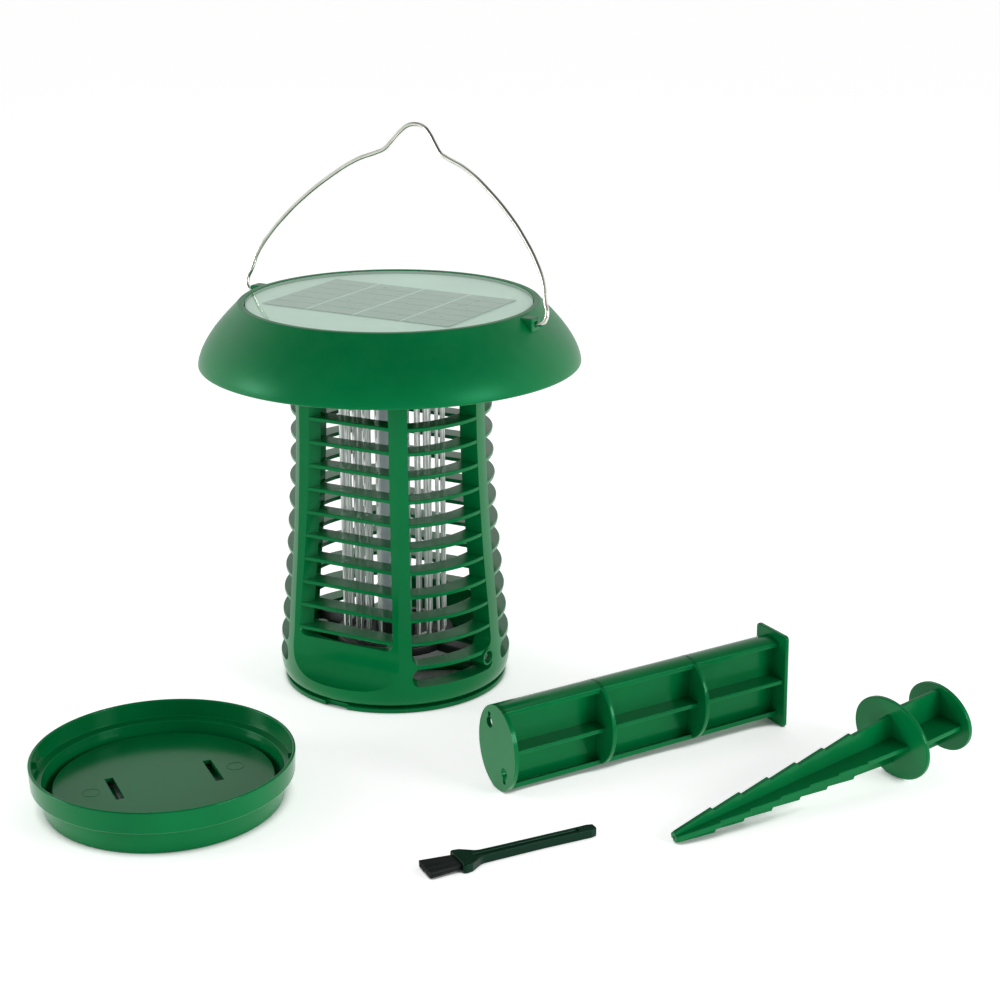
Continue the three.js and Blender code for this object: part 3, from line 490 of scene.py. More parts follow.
def settled_dust():
    """A thin uneven film on faces that look up."""
    group, given, out = node_group(
        "Settled dust",
        [("Vector", "Vector", None), ("Amount", "Float", 0.1), ("Scale", "Float", 120.0)],
        [("Mask", "Float")],
    )
    normal = add(group, "ShaderNodeNewGeometry").outputs["Normal"]
    height = add(group, "ShaderNodeSeparateXYZ", {"Vector": normal}).outputs["Z"]
    patches = spread(group, noise(group, given["Vector"], given["Scale"], 4.0, 0.7), 0.42, 0.70)
    film = maths(group, "MULTIPLY", spread(group, height, 0.3, 1.0), patches)
    group.links.new(maths(group, "MULTIPLY", film, given["Amount"]), out["Mask"])
    return group


def drawn_metal():
    """Fine lengthwise streaks and duller patches of drawn or rolled metal."""
    group, given, out = node_group(
        "Drawn metal",
        [("Vector", "Vector", None), ("Stretch", "Vector", (900, 900, 30)), ("Patch Scale", "Float", 60.0)],
        [("Tone", "Float"), ("Dulling", "Float"), ("Height", "Float")],
    )
    along = vector_maths(group, "MULTIPLY", given["Vector"], given["Stretch"], "Vector")
    streak = noise(group, along, 1.0, 3.0, 0.6)
    patch = noise(group, given["Vector"], given["Patch Scale"], 3.0)
    group.links.new(spread(group, streak, 0.3, 0.7, 0.82, 1.0), out["Tone"])
    group.links.new(spread(group, patch, 0.35, 0.7), out["Dulling"])
    group.links.new(streak, out["Height"])
    return group


GROUPS = {}


def shared(tree, name, **values):
    """One of the shared groups placed in a material, with its own values."""
    makers = {"Moulded surface": moulded_surface, "Settled dust": settled_dust, "Drawn metal": drawn_metal}
    if name not in GROUPS:
        GROUPS[name] = makers[name]()
    node = tree.nodes.new("ShaderNodeGroup")
    node.node_tree = GROUPS[name]
    for label, value in values.items():
        socket = node.inputs[label.replace("_", " ")]
        if isinstance(value, bpy.types.NodeSocket):
            tree.links.new(value, socket)
        else:
            socket.default_value = value
    return node.outputs


def new_material(name):
    material = bpy.data.materials.new(name)
    material.use_nodes = True
    tree = material.node_tree
    where = add(tree, "ShaderNodeTexCoord").outputs["Object"]
    return material, tree, tree.nodes["Principled BSDF"], where


def bumped(tree, shader, height, distance, strength=0.5):
    values = {"Height": height, "Distance": distance, "Strength": strength}
    tree.links.new(add(tree, "ShaderNodeBump", values).outputs["Normal"], shader.inputs["Normal"])


def plastic(
    name, tint, roughness, grain=0.02 * MM, edge=0.2, dust=0.015, drift=30.0, grain_scale=2600.0,
    coat=0.0, sheen=(1, 1, 1), gloss=0.5,
):
    """A moulded plastic of one tint, whose gloss may be tinted too; edge sets the strength of its painted
    edge highlight.
    """
    material, tree, shader, where = new_material(name)
    surface = shared(
        tree, "Moulded surface", Vector=where, Colour=rgba(tint), Roughness=roughness, Drift_Scale=drift,
        Grain_Scale=grain_scale, Edge_Light=edge,
    )
    film = shared(tree, "Settled dust", Vector=where, Amount=dust)["Mask"]
    toned = blended(tree, film, surface["Colour"], (0.55, 0.56, 0.53, 1))
    tree.links.new(toned, shader.inputs["Base Color"])
    dull = maths(tree, "ADD", surface["Roughness"], maths(tree, "MULTIPLY", film, 0.5))
    tree.links.new(dull, shader.inputs["Roughness"])
    bumped(tree, shader, surface["Height"], grain)
    shader.inputs["Coat Weight"].default_value = coat
    shader.inputs["Coat Roughness"].default_value = 0.12
    shader.inputs["Specular Tint"].default_value = rgba(sheen)
    shader.inputs["Specular IOR Level"].default_value = gloss
    return material


def metal(name, tint, roughness, stretch=(900, 900, 30), dulling=0.15, relief=0.006 * MM):
    """A bright metal with drawn streaks."""
    material, tree, shader, where = new_material(name)
    surface = shared(tree, "Drawn metal", Vector=where, Stretch=stretch)
    toned = blended(tree, 1.0, rgba(tint), surface["Tone"], mode="MULTIPLY")
    tree.links.new(toned, shader.inputs["Base Color"])
    dull = maths(tree, "ADD", maths(tree, "MULTIPLY", surface["Dulling"], dulling), roughness)
    tree.links.new(dull, shader.inputs["Roughness"])
    shader.inputs["Metallic"].default_value = 1.0
    bumped(tree, shader, surface["Height"], relief, 0.3)
    return material


def banded(name, first, second, scale, direction, roughness=0.35, sharp=0.02):
    """A surface of two tints in bands, as on wound tape, printed sleeves and solar strips."""
    material, tree, shader, where = new_material(name)
    values = {"Vector": where, "Scale": scale, "Detail": 1.0}
    bands = add(tree, "ShaderNodeTexWave", values, wave_type="BANDS", bands_direction=direction)
    mask = spread(tree, bands.outputs["Fac"], 0.5 - sharp, 0.5 + sharp)
    surface = shared(tree, "Moulded surface", Vector=where, Colour=rgba(first), Roughness=roughness)
    tree.links.new(blended(tree, mask, surface["Colour"], rgba(second)), shader.inputs["Base Color"])
    tree.links.new(surface["Roughness"], shader.inputs["Roughness"])
    bumped(tree, shader, bands.outputs["Fac"], 0.03 * MM)
    return material


def circuit_board_material():
    material, tree, shader, where = new_material("solder_mask_green")
    cells = add(tree, "ShaderNodeTexVoronoi", {"Vector": where, "Scale": 420.0}, distance="CHEBYCHEV")
    tracks = spread(tree, cells.outputs["Distance"], 0.36, 0.42)
    surface = shared(tree, "Moulded surface", Vector=where, Colour=(0.01, 0.10, 0.035, 1), Roughness=0.35)
    toned = blended(tree, tracks, surface["Colour"], (0.03, 0.22, 0.08, 1))
    tree.links.new(toned, shader.inputs["Base Color"])
    tree.links.new(surface["Roughness"], shader.inputs["Roughness"])
    bumped(tree, shader, tracks, 0.03 * MM)
    return material


def cell_material(tint):
    """Pale solar strips with fine contact fingers, a slow change of shade and a painted highlight on their
    edges.
    """
    material, tree, shader, where = new_material("solar_strips")
    values = {"Vector": where, "Scale": 260.0, "Detail": 0.0}
    fingers = add(tree, "ShaderNodeTexWave", values, bands_direction="X")
    mask = spread(tree, fingers.outputs["Fac"], 0.80, 0.95, 0.0, 0.18)
    surface = shared(
        tree, "Moulded surface", Vector=where, Colour=rgba(tint), Roughness=0.30, Drift_Scale=70.0,
        Edge_Light=0.5,
    )
    lit = blended(tree, mask, surface["Colour"], (0.62, 0.72, 0.64, 1))
    tree.links.new(lit, shader.inputs["Base Color"])
    tree.links.new(surface["Roughness"], shader.inputs["Roughness"])
    bumped(tree, shader, fingers.outputs["Fac"], 0.01 * MM, 0.3)
    return material


def cover_material():
    """A clear gloss sheet: it reflects more at a low angle and lets the rest through."""
    material, tree, shader, where = new_material("panel_gloss")
    smear = spread(tree, noise(tree, where, 45.0, 4.0), 0.45, 0.75, 0.02, 0.07)
    tree.links.new(smear, shader.inputs["Roughness"])
    shader.inputs["Base Color"].default_value = (0.80, 1.0, 0.89, 1)
    shader.inputs["Metallic"].default_value = 1.0
    bend = add(tree, "ShaderNodeFresnel", {"IOR": 1.6}).outputs["Fac"]
    front = maths(tree, "SUBTRACT", 1.0, add(tree, "ShaderNodeNewGeometry").outputs["Backfacing"])
    tree.links.new(maths(tree, "MULTIPLY", bend, front), shader.inputs["Alpha"])
    return material


def tube_material(tint):
    """Frosted tube with a cloudy tone, fine frost and a little light scattered beneath its surface."""
    material, tree, shader, where = new_material("frosted_tube")
    cloud = spread(tree, noise(tree, where, 55.0, 3.0), 0.3, 0.7, 0.92, 1.05)
    tree.links.new(shaded(tree, cloud, rgba(tint)), shader.inputs["Base Color"])
    frost = noise(tree, where, 1800.0, 2.0)
    tree.links.new(spread(tree, frost, 0.3, 0.7, 0.22, 0.34), shader.inputs["Roughness"])
    bumped(tree, shader, frost, 0.01 * MM, 0.3)
    shader.inputs["Subsurface Weight"].default_value = 0.25
    shader.inputs["Subsurface Radius"].default_value = (0.004, 0.004, 0.004)
    return material


FINISHES = {}
GREEN_SHEEN = (0.12, 0.8, 0.42)


def finish(name):
    """The material of that name, made when it is first asked for."""
    tints = bpy.context.scene.zapper_finishes
    # each edge value sets the painted highlight on that finish's sharp edges
    makers = {
        "green_gloss": lambda: plastic(
            "gloss_green", tints.gloss_green, 0.18, edge=0.0, coat=0.1, dust=0.0, sheen=GREEN_SHEEN,
            gloss=0.25,
        ),
        "green_satin": lambda: plastic(
            "satin_green", tints.satin_green, 0.36, grain=0.03 * MM, edge=0.04, sheen=GREEN_SHEEN,
            gloss=0.42,
        ),
        "black_plastic": lambda: plastic("satin_black", tints.black, 0.40, edge=0.06, dust=0.02),
        "brush_plastic": lambda: plastic(
            "dark_brush_green", tints.brush, 0.30, edge=0.04, sheen=(0.3, 0.8, 0.5), gloss=0.3, dust=0.0,
        ),
        "bristle": lambda: plastic(
            "nylon_bristle", [0.4 * v for v in tints.brush], 0.45, edge=0.0, dust=0.0,
        ),
        "panel_backing": lambda: plastic("mint_backing", tints.mint, 0.40, edge=0.1, drift=18.0, dust=0.02),
        "led_board": lambda: plastic("white_solder_mask", (0.78, 0.80, 0.78), 0.35, drift=200.0),
        "seal_rubber": lambda: plastic(
            "foam_seal", (0.018, 0.018, 0.02), 0.85, grain=0.2 * MM, grain_scale=900.0,
        ),
        "grid_steel": lambda: metal(
            "bright_wire", tints.chrome, 0.30, stretch=(2400, 2400, 5), dulling=0.03, relief=0.0002 * MM,
        ),
        "bail_steel": lambda: metal(
            "bail_wire_steel", [1.25 * v for v in tints.steel], 0.12, stretch=(120, 120, 120), dulling=0.05,
        ),
        "screw_steel": lambda: metal("zinc_plate", tints.steel, 0.28, stretch=(500, 500, 500), dulling=0.2),
        "tube_frost": lambda: tube_material(tints.tube),
        "solar_cell": lambda: cell_material(tints.cell),
        "panel_cover": cover_material,
        "circuit_board": circuit_board_material,
        "coil_tape": lambda: banded(
            "coil_tape", (0.66, 0.45, 0.06), (0.50, 0.32, 0.04), 120.0, "Z", sharp=0.3,
        ),
        "capacitor_sleeve": lambda: banded(
            "capacitor_sleeve", (0.02, 0.05, 0.2), (0.6, 0.6, 0.62), 14.0, "Y",
        ),
        "battery_sleeve": lambda: banded(
            "battery_sleeve", (0.06, 0.17, 0.4), (0.7, 0.72, 0.7), 9.0, "X",
        ),
    }
    if name not in FINISHES:
        FINISHES[name] = makers[name]()
    return FINISHES[name]


# ---------- operators ----------
class ZAPPER_OT_hood(bpy.types.Operator):
    """Build the hood with its rim, rounded lip and the bail's lugs"""
    bl_idname = "zapper.hood"
    bl_label = "Hood"

    def execute(self, context):
        s = context.scene.zapper_hood
        top, lip = HOOD_HIGH.z, HOOD_LOW.z
        deck = top - s.rim_depth
        start = Vector((s.rim_radius + 1.9 * MM, top - 1.7 * MM))
        bend = Vector((s.lip_radius - 1.3 * MM, lip + 12.4 * MM))
        end = Vector((s.lip_radius, lip))
        outer, inner = [], []
        steps = 30
        for step in range(1, steps + 1):
            t = step / steps
            along = ((bend - start) * (1 - t) + (end - bend) * t).normalized()
            point = start * (1 - t) ** 2 + bend * 2 * t * (1 - t) + end * t * t
            outer.append(point)
            if t > 0.12:
                inner.append(point + Vector((along.y, -along.x)) * s.wall)
        lip_end = filleted([
            (*outer[-4], 0), (*end, 1.1 * MM), (inner[-1].x, lip, 0.9 * MM), (*inner[-4], 0),
        ], False)
        inside = s.rim_radius - s.rim_width
        rim = filleted([
            (0, deck, 0), (inside, deck, 0.4 * MM), (inside, top, 0.5 * MM),
            (s.rim_radius + 0.6 * MM, top, 1.5 * MM), (*outer[1], 0),
        ], False)
        under = deck - 2 * MM
        ceiling = filleted([(*inner[1], 0), (inner[0].x - 2 * MM, under, 1.2 * MM), (0, under, 0)], False)
        shell = lathe([*rim, *outer[2:-4], *lip_end, *inner[-5:1:-1], *ceiling], 192)
        parts = [shell]
        for way in (0, 180):
            reach = s.rim_radius + s.lug_reach
            lug = block(
                (s.rim_radius - 1 * MM, -s.lug_width / 2, PIVOT_Z - 3.8 * MM),
                (reach, s.lug_width / 2, PIVOT_Z + 3.2 * MM), 0.9 * MM, 3,
            )
            hole = context.scene.zapper_wire.bail / 2 + SLIP
            bore = bar((reach - 5 * MM, 0, PIVOT_Z), (reach + 2 * MM, 0, PIVOT_Z), hole, 32)
            parts.append(turned(soften(carved(lug, bore), 0.25 * MM, 60), way))
        for i in range(4):
            low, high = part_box(f"hood_screw_{i + 1}")
            middle = (low + high) / 2
            foot = Vector((middle.x, middle.y, PLATE_TOP_Z + 0.3 * MM))
            head = Vector((middle.x, middle.y, PLATE_TOP_Z + 17 * MM))
            parts.append(bar(foot, head, GUIDE_RADIUS))
        piece("hood", gather(*parts), "lamp", finish("green_satin"), "green_satin", "hood_shell")
        return {"FINISHED"}


class ZAPPER_OT_base_plate(bpy.types.Operator):
    """Build the plate that closes the hood from below, with its battery door and power button"""
    bl_idname = "zapper.base_plate"
    bl_label = "Base plate, door and button"

    def execute(self, context):
        radius = -PLATE_LOW.x
        low = PLATE_LOW.z
        ridge = 1.2 * MM
        profile = filleted([
            (0, low + 0.6 * MM, 0), (60 * MM, low + 0.6 * MM, 0.4 * MM), (60.6 * MM, low, 0.4 * MM),
            (88 * MM, low, 0.5 * MM), (88.6 * MM, low + 0.7 * MM, 0.4 * MM),
            (89.6 * MM, low + 0.7 * MM, 0.4 * MM), (90.2 * MM, low, 0.5 * MM),
            (radius, low, 0.5 * MM), (radius, PLATE_TOP_Z, 0.5 * MM), (0, PLATE_TOP_Z, 0),
        ], False, 3)
        plate = lathe(profile, 144)
        doorway = block(
            (DOOR_LOW.x - SLIP, DOOR_LOW.y - SLIP, low - ridge),
            (DOOR_HIGH.x + SLIP, DOOR_HIGH.y + SLIP, PLATE_TOP_Z + ridge), 1 * MM, 3,
        )
        middle = (BUTTON_LOW + BUTTON_HIGH) / 2
        hole = bar((0, middle.y, low - ridge), (0, middle.y, PLATE_TOP_Z + ridge), 5.4 * MM, 48)
        socket = bar((0, 0, low - ridge), (0, 0, PLATE_TOP_Z + ridge), 12.9 * MM, 64)
        plate = carved(plate, gather(doorway, hole, socket))
        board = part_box("control_board")[0]
        feet = []
        for x in (board.x + 5 * MM, -board.x - 5 * MM):
            for y in (board.y + 5 * MM, board.y + 29 * MM):
                feet.append(bar((x, y, low + 1 * MM), (x, y, board.z - 0.3 * MM), 3 * MM, 24))
        whole = gather(soften(plate, 0.3 * MM, 50), *feet)
        piece("base_plate", whole, "lamp", finish("green_satin"), "green_satin", "hood_base_plate")
        self.door()
        self.button(middle)
        return {"FINISHED"}

    def door(self):
        """The battery door, with a finger grip and three ribs."""
        panel = block(DOOR_LOW, DOOR_HIGH, 0.6 * MM, 3)
        near = DOOR_LOW.y + 2.2 * MM
        grip = block(
            (-8 * MM, near, DOOR_LOW.z - 1 * MM), (8 * MM, near + 1.4 * MM, DOOR_LOW.z + 0.5 * MM), 0.3 * MM,
        )
        panel = carved(panel, grip)
        y = (DOOR_LOW.y + DOOR_HIGH.y) / 2
        ribs = []
        for i in (-1, 0, 1):
            at = y + i * 2.4 * MM
            ribs.append(block(
                (-14 * MM, at - 0.4 * MM, DOOR_LOW.z - 0.3 * MM),
                (14 * MM, at + 0.4 * MM, DOOR_LOW.z + 0.5 * MM), 0.25 * MM,
            ))
        door = gather(panel, *ribs)
        piece("drop_door", door, "door", finish("green_satin"), "green_satin", "battery_door")

    def button(self, middle):
        """The power button, dished where a finger presses it."""
        low, high = BUTTON_LOW.z, BUTTON_HIGH.z
        collar = PLATE_TOP_Z + 0.3 * MM
        profile = filleted([
            (0, low + 0.5 * MM, 0), (3 * MM, low + 0.3 * MM, 1 * MM), (4 * MM, low, 0.4 * MM),
            (5 * MM, low, 0.5 * MM), (5 * MM, collar, 0), (6.8 * MM, collar, 0.2 * MM),
            (6.8 * MM, collar + 1.2 * MM, 0.2 * MM), (1.6 * MM, collar + 1.2 * MM, 0.3 * MM),
            (1.6 * MM, high, 0.3 * MM), (0, high, 0),
        ], False, 3)
        cap = placed(lathe(profile, 64), Matrix.Translation((middle.x, middle.y, 0)))
        piece("push_button", cap, "button", finish("black_plastic"), "black_plastic", "power_button")


class ZAPPER_OT_solar_panel(bpy.types.Operator):
    """Build the solar panel: mint backing, four by six strips and a clear cover"""
    bl_idname = "zapper.solar_panel"
    bl_label = "Solar panel"

    def execute(self, context):
        def disc(low, high, soft):
            radius = high.x
            return lathe(filleted([
                (0, low.z, 0), (radius, low.z, soft), (radius, high.z, soft), (0, high.z, 0),
            ], False, 3), 192)

        backing = disc(BACKING_LOW, BACKING_HIGH, 0.3 * MM)
        piece("mint_backing", backing, "lamp", finish("panel_backing"), "panel_backing", "solar_backing")
        cover = disc(COVER_LOW, COVER_HIGH, 0.25 * MM)
        piece("clear_cover", cover, "lamp", finish("panel_cover"), "panel_cover", "solar_cover")
        columns, rows = 4, 6
        pitch_x = (CELLS_HIGH.x - CELLS_LOW.x) / columns
        pitch_y = (CELLS_HIGH.y - CELLS_LOW.y) / rows
        lane_x, lane_y = 0.55 * MM, 0.38 * MM
        strips = []
        for i in range(columns):
            for j in range(rows):
                x = CELLS_LOW.x + i * pitch_x
                y = CELLS_LOW.y + j * pitch_y
                low = (x + lane_x, y + lane_y, CELLS_LOW.z)
                high = (x + pitch_x - lane_x, y + pitch_y - lane_y, CELLS_HIGH.z - 0.04 * MM)
                strips.append(block(low, high, 0.08 * MM))
        field = gather(*strips)
        piece("solar_strips", field, "lamp", finish("solar_cell"), "solar_cell", "solar_cells")
        buses = []
        for i in range(1, columns):
            x = CELLS_LOW.x + i * pitch_x
            low = (x - 0.45 * MM, CELLS_LOW.y, CELLS_LOW.z + 0.05 * MM)
            buses.append(block(low, (x + 0.45 * MM, CELLS_HIGH.y, CELLS_HIGH.z), 0.05 * MM))
        piece("bus_lines", gather(*buses), "lamp", finish("panel_backing"), "panel_backing")
        return {"FINISHED"}


class ZAPPER_OT_bail(bpy.types.Operator):
    """Bend the bail's wire from pivot to pivot"""
    bl_idname = "zapper.bail"
    bl_label = "Bail"

    def execute(self, context):
        s = context.scene.zapper_wire
        hood = context.scene.zapper_hood
        out = hood.rim_radius + hood.lug_reach
        # half of the bail's line, as distance from the middle and height over the pivots
        half = [
            (out - 4.3 * MM, 0), (out + 1 * MM, 0), (out + 3.6 * MM, 0.0007), (out + 4.9 * MM, 0.003),
            (out + 5 * MM, 0.0065), (out + 3.6 * MM, 0.0104), (out + 0.9 * MM, 0.020), (0.0784, 0.031),
            (0.0710, 0.0404), (0.0632, 0.0488), (0.0472, 0.0624), (0.0320, 0.0724), (0.0210, 0.0768),
            (0.0168, 0.0788), (0.0132, 0.0828), (0.0086, 0.0884), (0.0046, 0.0916),
        ]
        way = Vector((0, math.sin(s.lean), math.cos(s.lean)))
        pivot = Vector((0, 0, PIVOT_Z))
        points = [Vector((x, 0, 0)) + way * rise + pivot for x, rise in half]
        points.append(way * 0.0925 + pivot)
        points += [Vector((-x, 0, 0)) + way * rise + pivot for x, rise in reversed(half)]
        curve = bpy.data.curves.new("bail_line", "CURVE")
        curve.dimensions = "3D"
        curve.bevel_depth = s.bail / 2
        curve.bevel_resolution = 5
        curve.resolution_u = 10
        curve.use_fill_caps = True
        line = curve.splines.new("BEZIER")
        line.bezier_points.add(len(points) - 1)
        for knot, point in zip(line.bezier_points, points):
            knot.co = point
            knot.handle_left_type = "AUTO"
            knot.handle_right_type = "AUTO"
        holder = bpy.data.objects.new("bail_line", curve)
        context.scene.collection.objects.link(holder)
        mesh = bpy.data.meshes.new_from_object(holder.evaluated_get(context.evaluated_depsgraph_get()))
        bpy.data.objects.remove(holder)
        bm = bmesh.new()
        bm.from_mesh(mesh)
        bpy.data.meshes.remove(mesh)
        piece("bail", clean(bm), "bail", finish("bail_steel"), "bail_steel", "bail_wire", smooth=50)
        return {"FINISHED"}


def taper(s, height):
    """Outer radius of the cage at a share of its height, through its four named radii."""
    knots = [
        (14 / 167.2, s.skirt_radius), (0.25, s.low_radius),
        (0.47, (s.low_radius + s.waist_radius) / 2 - 0.3 * MM), (0.75, s.waist_radius), (1.0, s.top_radius),
    ]
    i = 0
    while i < len(knots) - 2 and knots[i + 1][0] < height:
        i += 1
    slopes = [
        (after[1] - before[1]) / (after[0] - before[0])
        for before, after in ((knots[max(k - 1, 0)], knots[min(k + 1, 4)]) for k in (i, i + 1))
    ]
    run = knots[i + 1][0] - knots[i][0]
    t = max(0.0, (height - knots[i][0]) / run)
    rise = (2 * t ** 3 - 3 * t ** 2 + 1) * knots[i][1] + (t ** 3 - 2 * t ** 2 + t) * run * slopes[0]
    return rise + (3 * t ** 2 - 2 * t ** 3) * knots[i + 1][1] + (t ** 3 - t ** 2) * run * slopes[1]


class ZAPPER_OT_cage(bpy.types.Operator):
    """Build the louvred cage: skirt, six posts, top ring, flat facets, slats and screw bosses"""
    bl_idname = "zapper.cage"
    bl_label = "Cage"

    def execute(self, context):
        s = context.scene.zapper_cage
        self.low, self.high = CAGE_LOW.z, CAGE_HIGH.z
        self.sill = self.low + s.facet_sill
        self.floor = self.low + s.round_sill
        self.top = self.high - s.head_band
        frame_part = self.shell(s)
        for cut in self.facets(s):
            frame_part = carved(frame_part, cut)
        frame_part = soften(frame_part, s.facet_edge, 20, 4)
        frame_part = carved(frame_part, gather(*self.windows(s)))
        bosses, bores = self.bosses(s)
        frame_part = carved(carved(frame_part, gather(*bosses), "UNION"), gather(*bores))
        frame_part = soften(frame_part, s.edge, 28, 3)
        whole = turned(gather(frame_part, *self.slats(s)), CAGE_YAW)
        sides = ("front", "front_right", "back_right", "back", "back_left", "front_left")
        nodes = [f"cage_{side}" for side in sides]
        piece("cage", whole, "lamp", finish("green_gloss"), "green_gloss", *nodes, smooth=40)
        return {"FINISHED"}

    def radius(self, s, z):
        return taper(s, (z - self.low) / (self.high - self.low))

    def shell(self, s):
        """The cage before its windows: a tapered tube with a drawn-in skirt."""
        skirt = []
        for step in range(9):
            angle = math.pi / 2 * step / 9
            reach = s.skirt_radius - s.skirt_tuck * (1 - math.sin(angle))
            skirt.append((reach, self.low + 9 * MM * (1 - math.cos(angle))))
        heights = [self.low + 11 * MM + (self.high - self.low - 11 * MM) * i / 40 for i in range(41)]
        outer = [(self.radius(s, z), z) for z in heights]
        inner = [(r - s.post_depth, z) for r, z in outer]
        neck = s.skirt_radius - s.skirt_tuck - 2.2 * MM
        seat = self.low + 4.4 * MM
        step = [(inner[0][0], seat), (neck, seat), (neck, self.low)]
        return lathe([*skirt, *outer, *reversed(inner), *step], 240)

    def windows(self, s):
        """Cutters between neighbouring posts, which widen outwards and have rounded corners."""
        spans = []
        for side in (-90, 90):
            spans.append((side - POST_STEP, side + POST_STEP, self.sill, self.top, s.corner))
        band = self.floor + s.slot
        for start, end in ROUND_SPANS:
            spans.append((start, end, self.floor, band, s.slot / 2 - 0.1 * MM))
            spans.append((start, end, band + s.slat, self.top, s.corner))
        cutters = []
        for start, end, low, high, corner in spans:
            slope = math.tan(math.radians(end - start) / 2)
            near = s.post_width / 2 / math.sin(math.atan(slope))
            loops = []
            cutter = bmesh.new()
            for x in (26 * MM, 90 * MM):
                half = (x - near) * slope
                corners = ((half, high), (-half, high), (-half, low), (half, low))
                outline = filleted([(y, z, corner) for y, z in corners], steps=6)
                face = cutter.faces.new([cutter.verts.new((x, point.x, point.y)) for point in outline])
                loops += face.edges[:]
            bmesh.ops.bridge_loops(cutter, edges=loops)
            cutters.append(turned(clean(cutter), (start + end) / 2))
        return cutters

    def facets(self, s):
        """Cutters for the flat windows' faces, which sweep out to the skirt at their foot."""
        line = []
        z = self.high + 1 * MM
        while z > self.sill - 3 * MM:
            line.append((self.radius(s, min(z, self.high)) - s.facet_depth, z))
            z -= 6 * MM
        foot = self.radius(s, self.sill) - s.facet_depth
        sweep = self.sill - self.low - 11 * MM
        for step in range(15):
            angle = math.pi / 2 * step / 14
            reach = foot + (s.skirt_radius - foot) * (1 - math.cos(angle))
            line.append((reach, self.sill - 3 * MM - sweep * math.sin(angle)))
        line += [(90 * MM, line[-1][1]), (90 * MM, self.high + 1 * MM)]
        cuts = []
        for way in (-90, 90):
            cut = placed(prism(line, -50 * MM, 50 * MM), Matrix.Rotation(math.pi / 2, 4, "X"))
            cuts.append(turned(cut, way))
        return cuts

    def bosses(self, s):
        """The screws' bosses at the foot of two posts, and the bores through them."""
        z = HOLDER_HIGH.z - 2.5 * MM
        r = self.radius(s, z)
        bosses, bores = [], []
        for angle in SIDE_SCREWS:
            root, end = polar(r - s.post_depth, angle, z), polar(r + 0.6 * MM, angle, z)
            bosses.append(bar(root, end, 4.3 * MM, 40))
            bores.append(bar(polar(r - 3 * MM, angle, z), polar(r + 2 * MM, angle, z), 3.3 * MM, 40))
        return bosses, bores

    def slats(self, s):
        """Curved slats in the round windows and straight ones in the flat windows."""
        made = []
        soft = 0.45 * MM
        for k in range(s.slats):
            top = self.floor + s.slot + s.slat + s.slat_pitch * k
            r = self.radius(s, top) - 0.05 * MM
            back = r - s.slat_depth
            low = top - s.slat
            for start, end in ROUND_SPANS if k else ():
                corners = ((back, low), (r, low), (r, top), (back, top))
                section = filleted([(x, z, soft) for x, z in corners], steps=3)
                made.append(arc_strip(section, start + 2.5, end - 2.5, 24))
            if low > self.sill:
                face = r - s.facet_depth
                half = face * math.tan(math.radians(POST_STEP)) - 2.5 * MM
                for way in (-1, 1):
                    ys = sorted((way * face, way * (face - s.slat_depth)))
                    made.append(block((-half, ys[0], low), (half, ys[1], top), soft, 3))
        return made


class ZAPPER_OT_foot(bpy.types.Operator):
    """Build the foot: flange with bayonet notches, neck, spokes and hub"""
    bl_idname = "zapper.foot"
    bl_label = "Foot"

    def execute(self, context):
        outer = FOOT_HIGH.x
        thick = 2.4 * MM
        neck = context.scene.zapper_cage.skirt_radius - 5.9 * MM
        inside = outer - 12 * MM
        bore = neck - 2.6 * MM
        ring = lathe(filleted([
            (inside, 0, 0.4 * MM), (outer, 0, 0.6 * MM), (outer, thick, 0.6 * MM), (neck, thick, 0.3 * MM),
            (neck, FOOT_HIGH.z, 0.4 * MM), (bore, FOOT_HIGH.z, 0.4 * MM), (bore, thick, 0.6 * MM),
            (inside, thick, 0.5 * MM),
        ], steps=3), 192)
        cuts = []
        for way in (-90, 90):
            low = (outer - 2.6 * MM, -6.5 * MM, -1 * MM)
            cuts.append(turned(block(low, (outer + 2 * MM, 6.5 * MM, thick + 0.3 * MM), 0.5 * MM, 3), way))
        ring = carved(ring, gather(*cuts))
        hub = lathe(filleted([
            (0, 0, 0), (12 * MM, 0, 0.5 * MM), (12 * MM, thick, 0.5 * MM), (0, thick, 0),
        ], False, 3), 64)
        parts = [ring, hub]
        for way in (30, 150, 270):
            far = (inside + 2 * MM, 3.5 * MM, thick - 0.1 * MM)
            parts.append(turned(block((10 * MM, -3.5 * MM, 0.1 * MM), far, 0.4 * MM), way))
        piece("foot", gather(*parts), "lamp", finish("green_gloss"), "green_gloss", "base_ring")
        return {"FINISHED"}


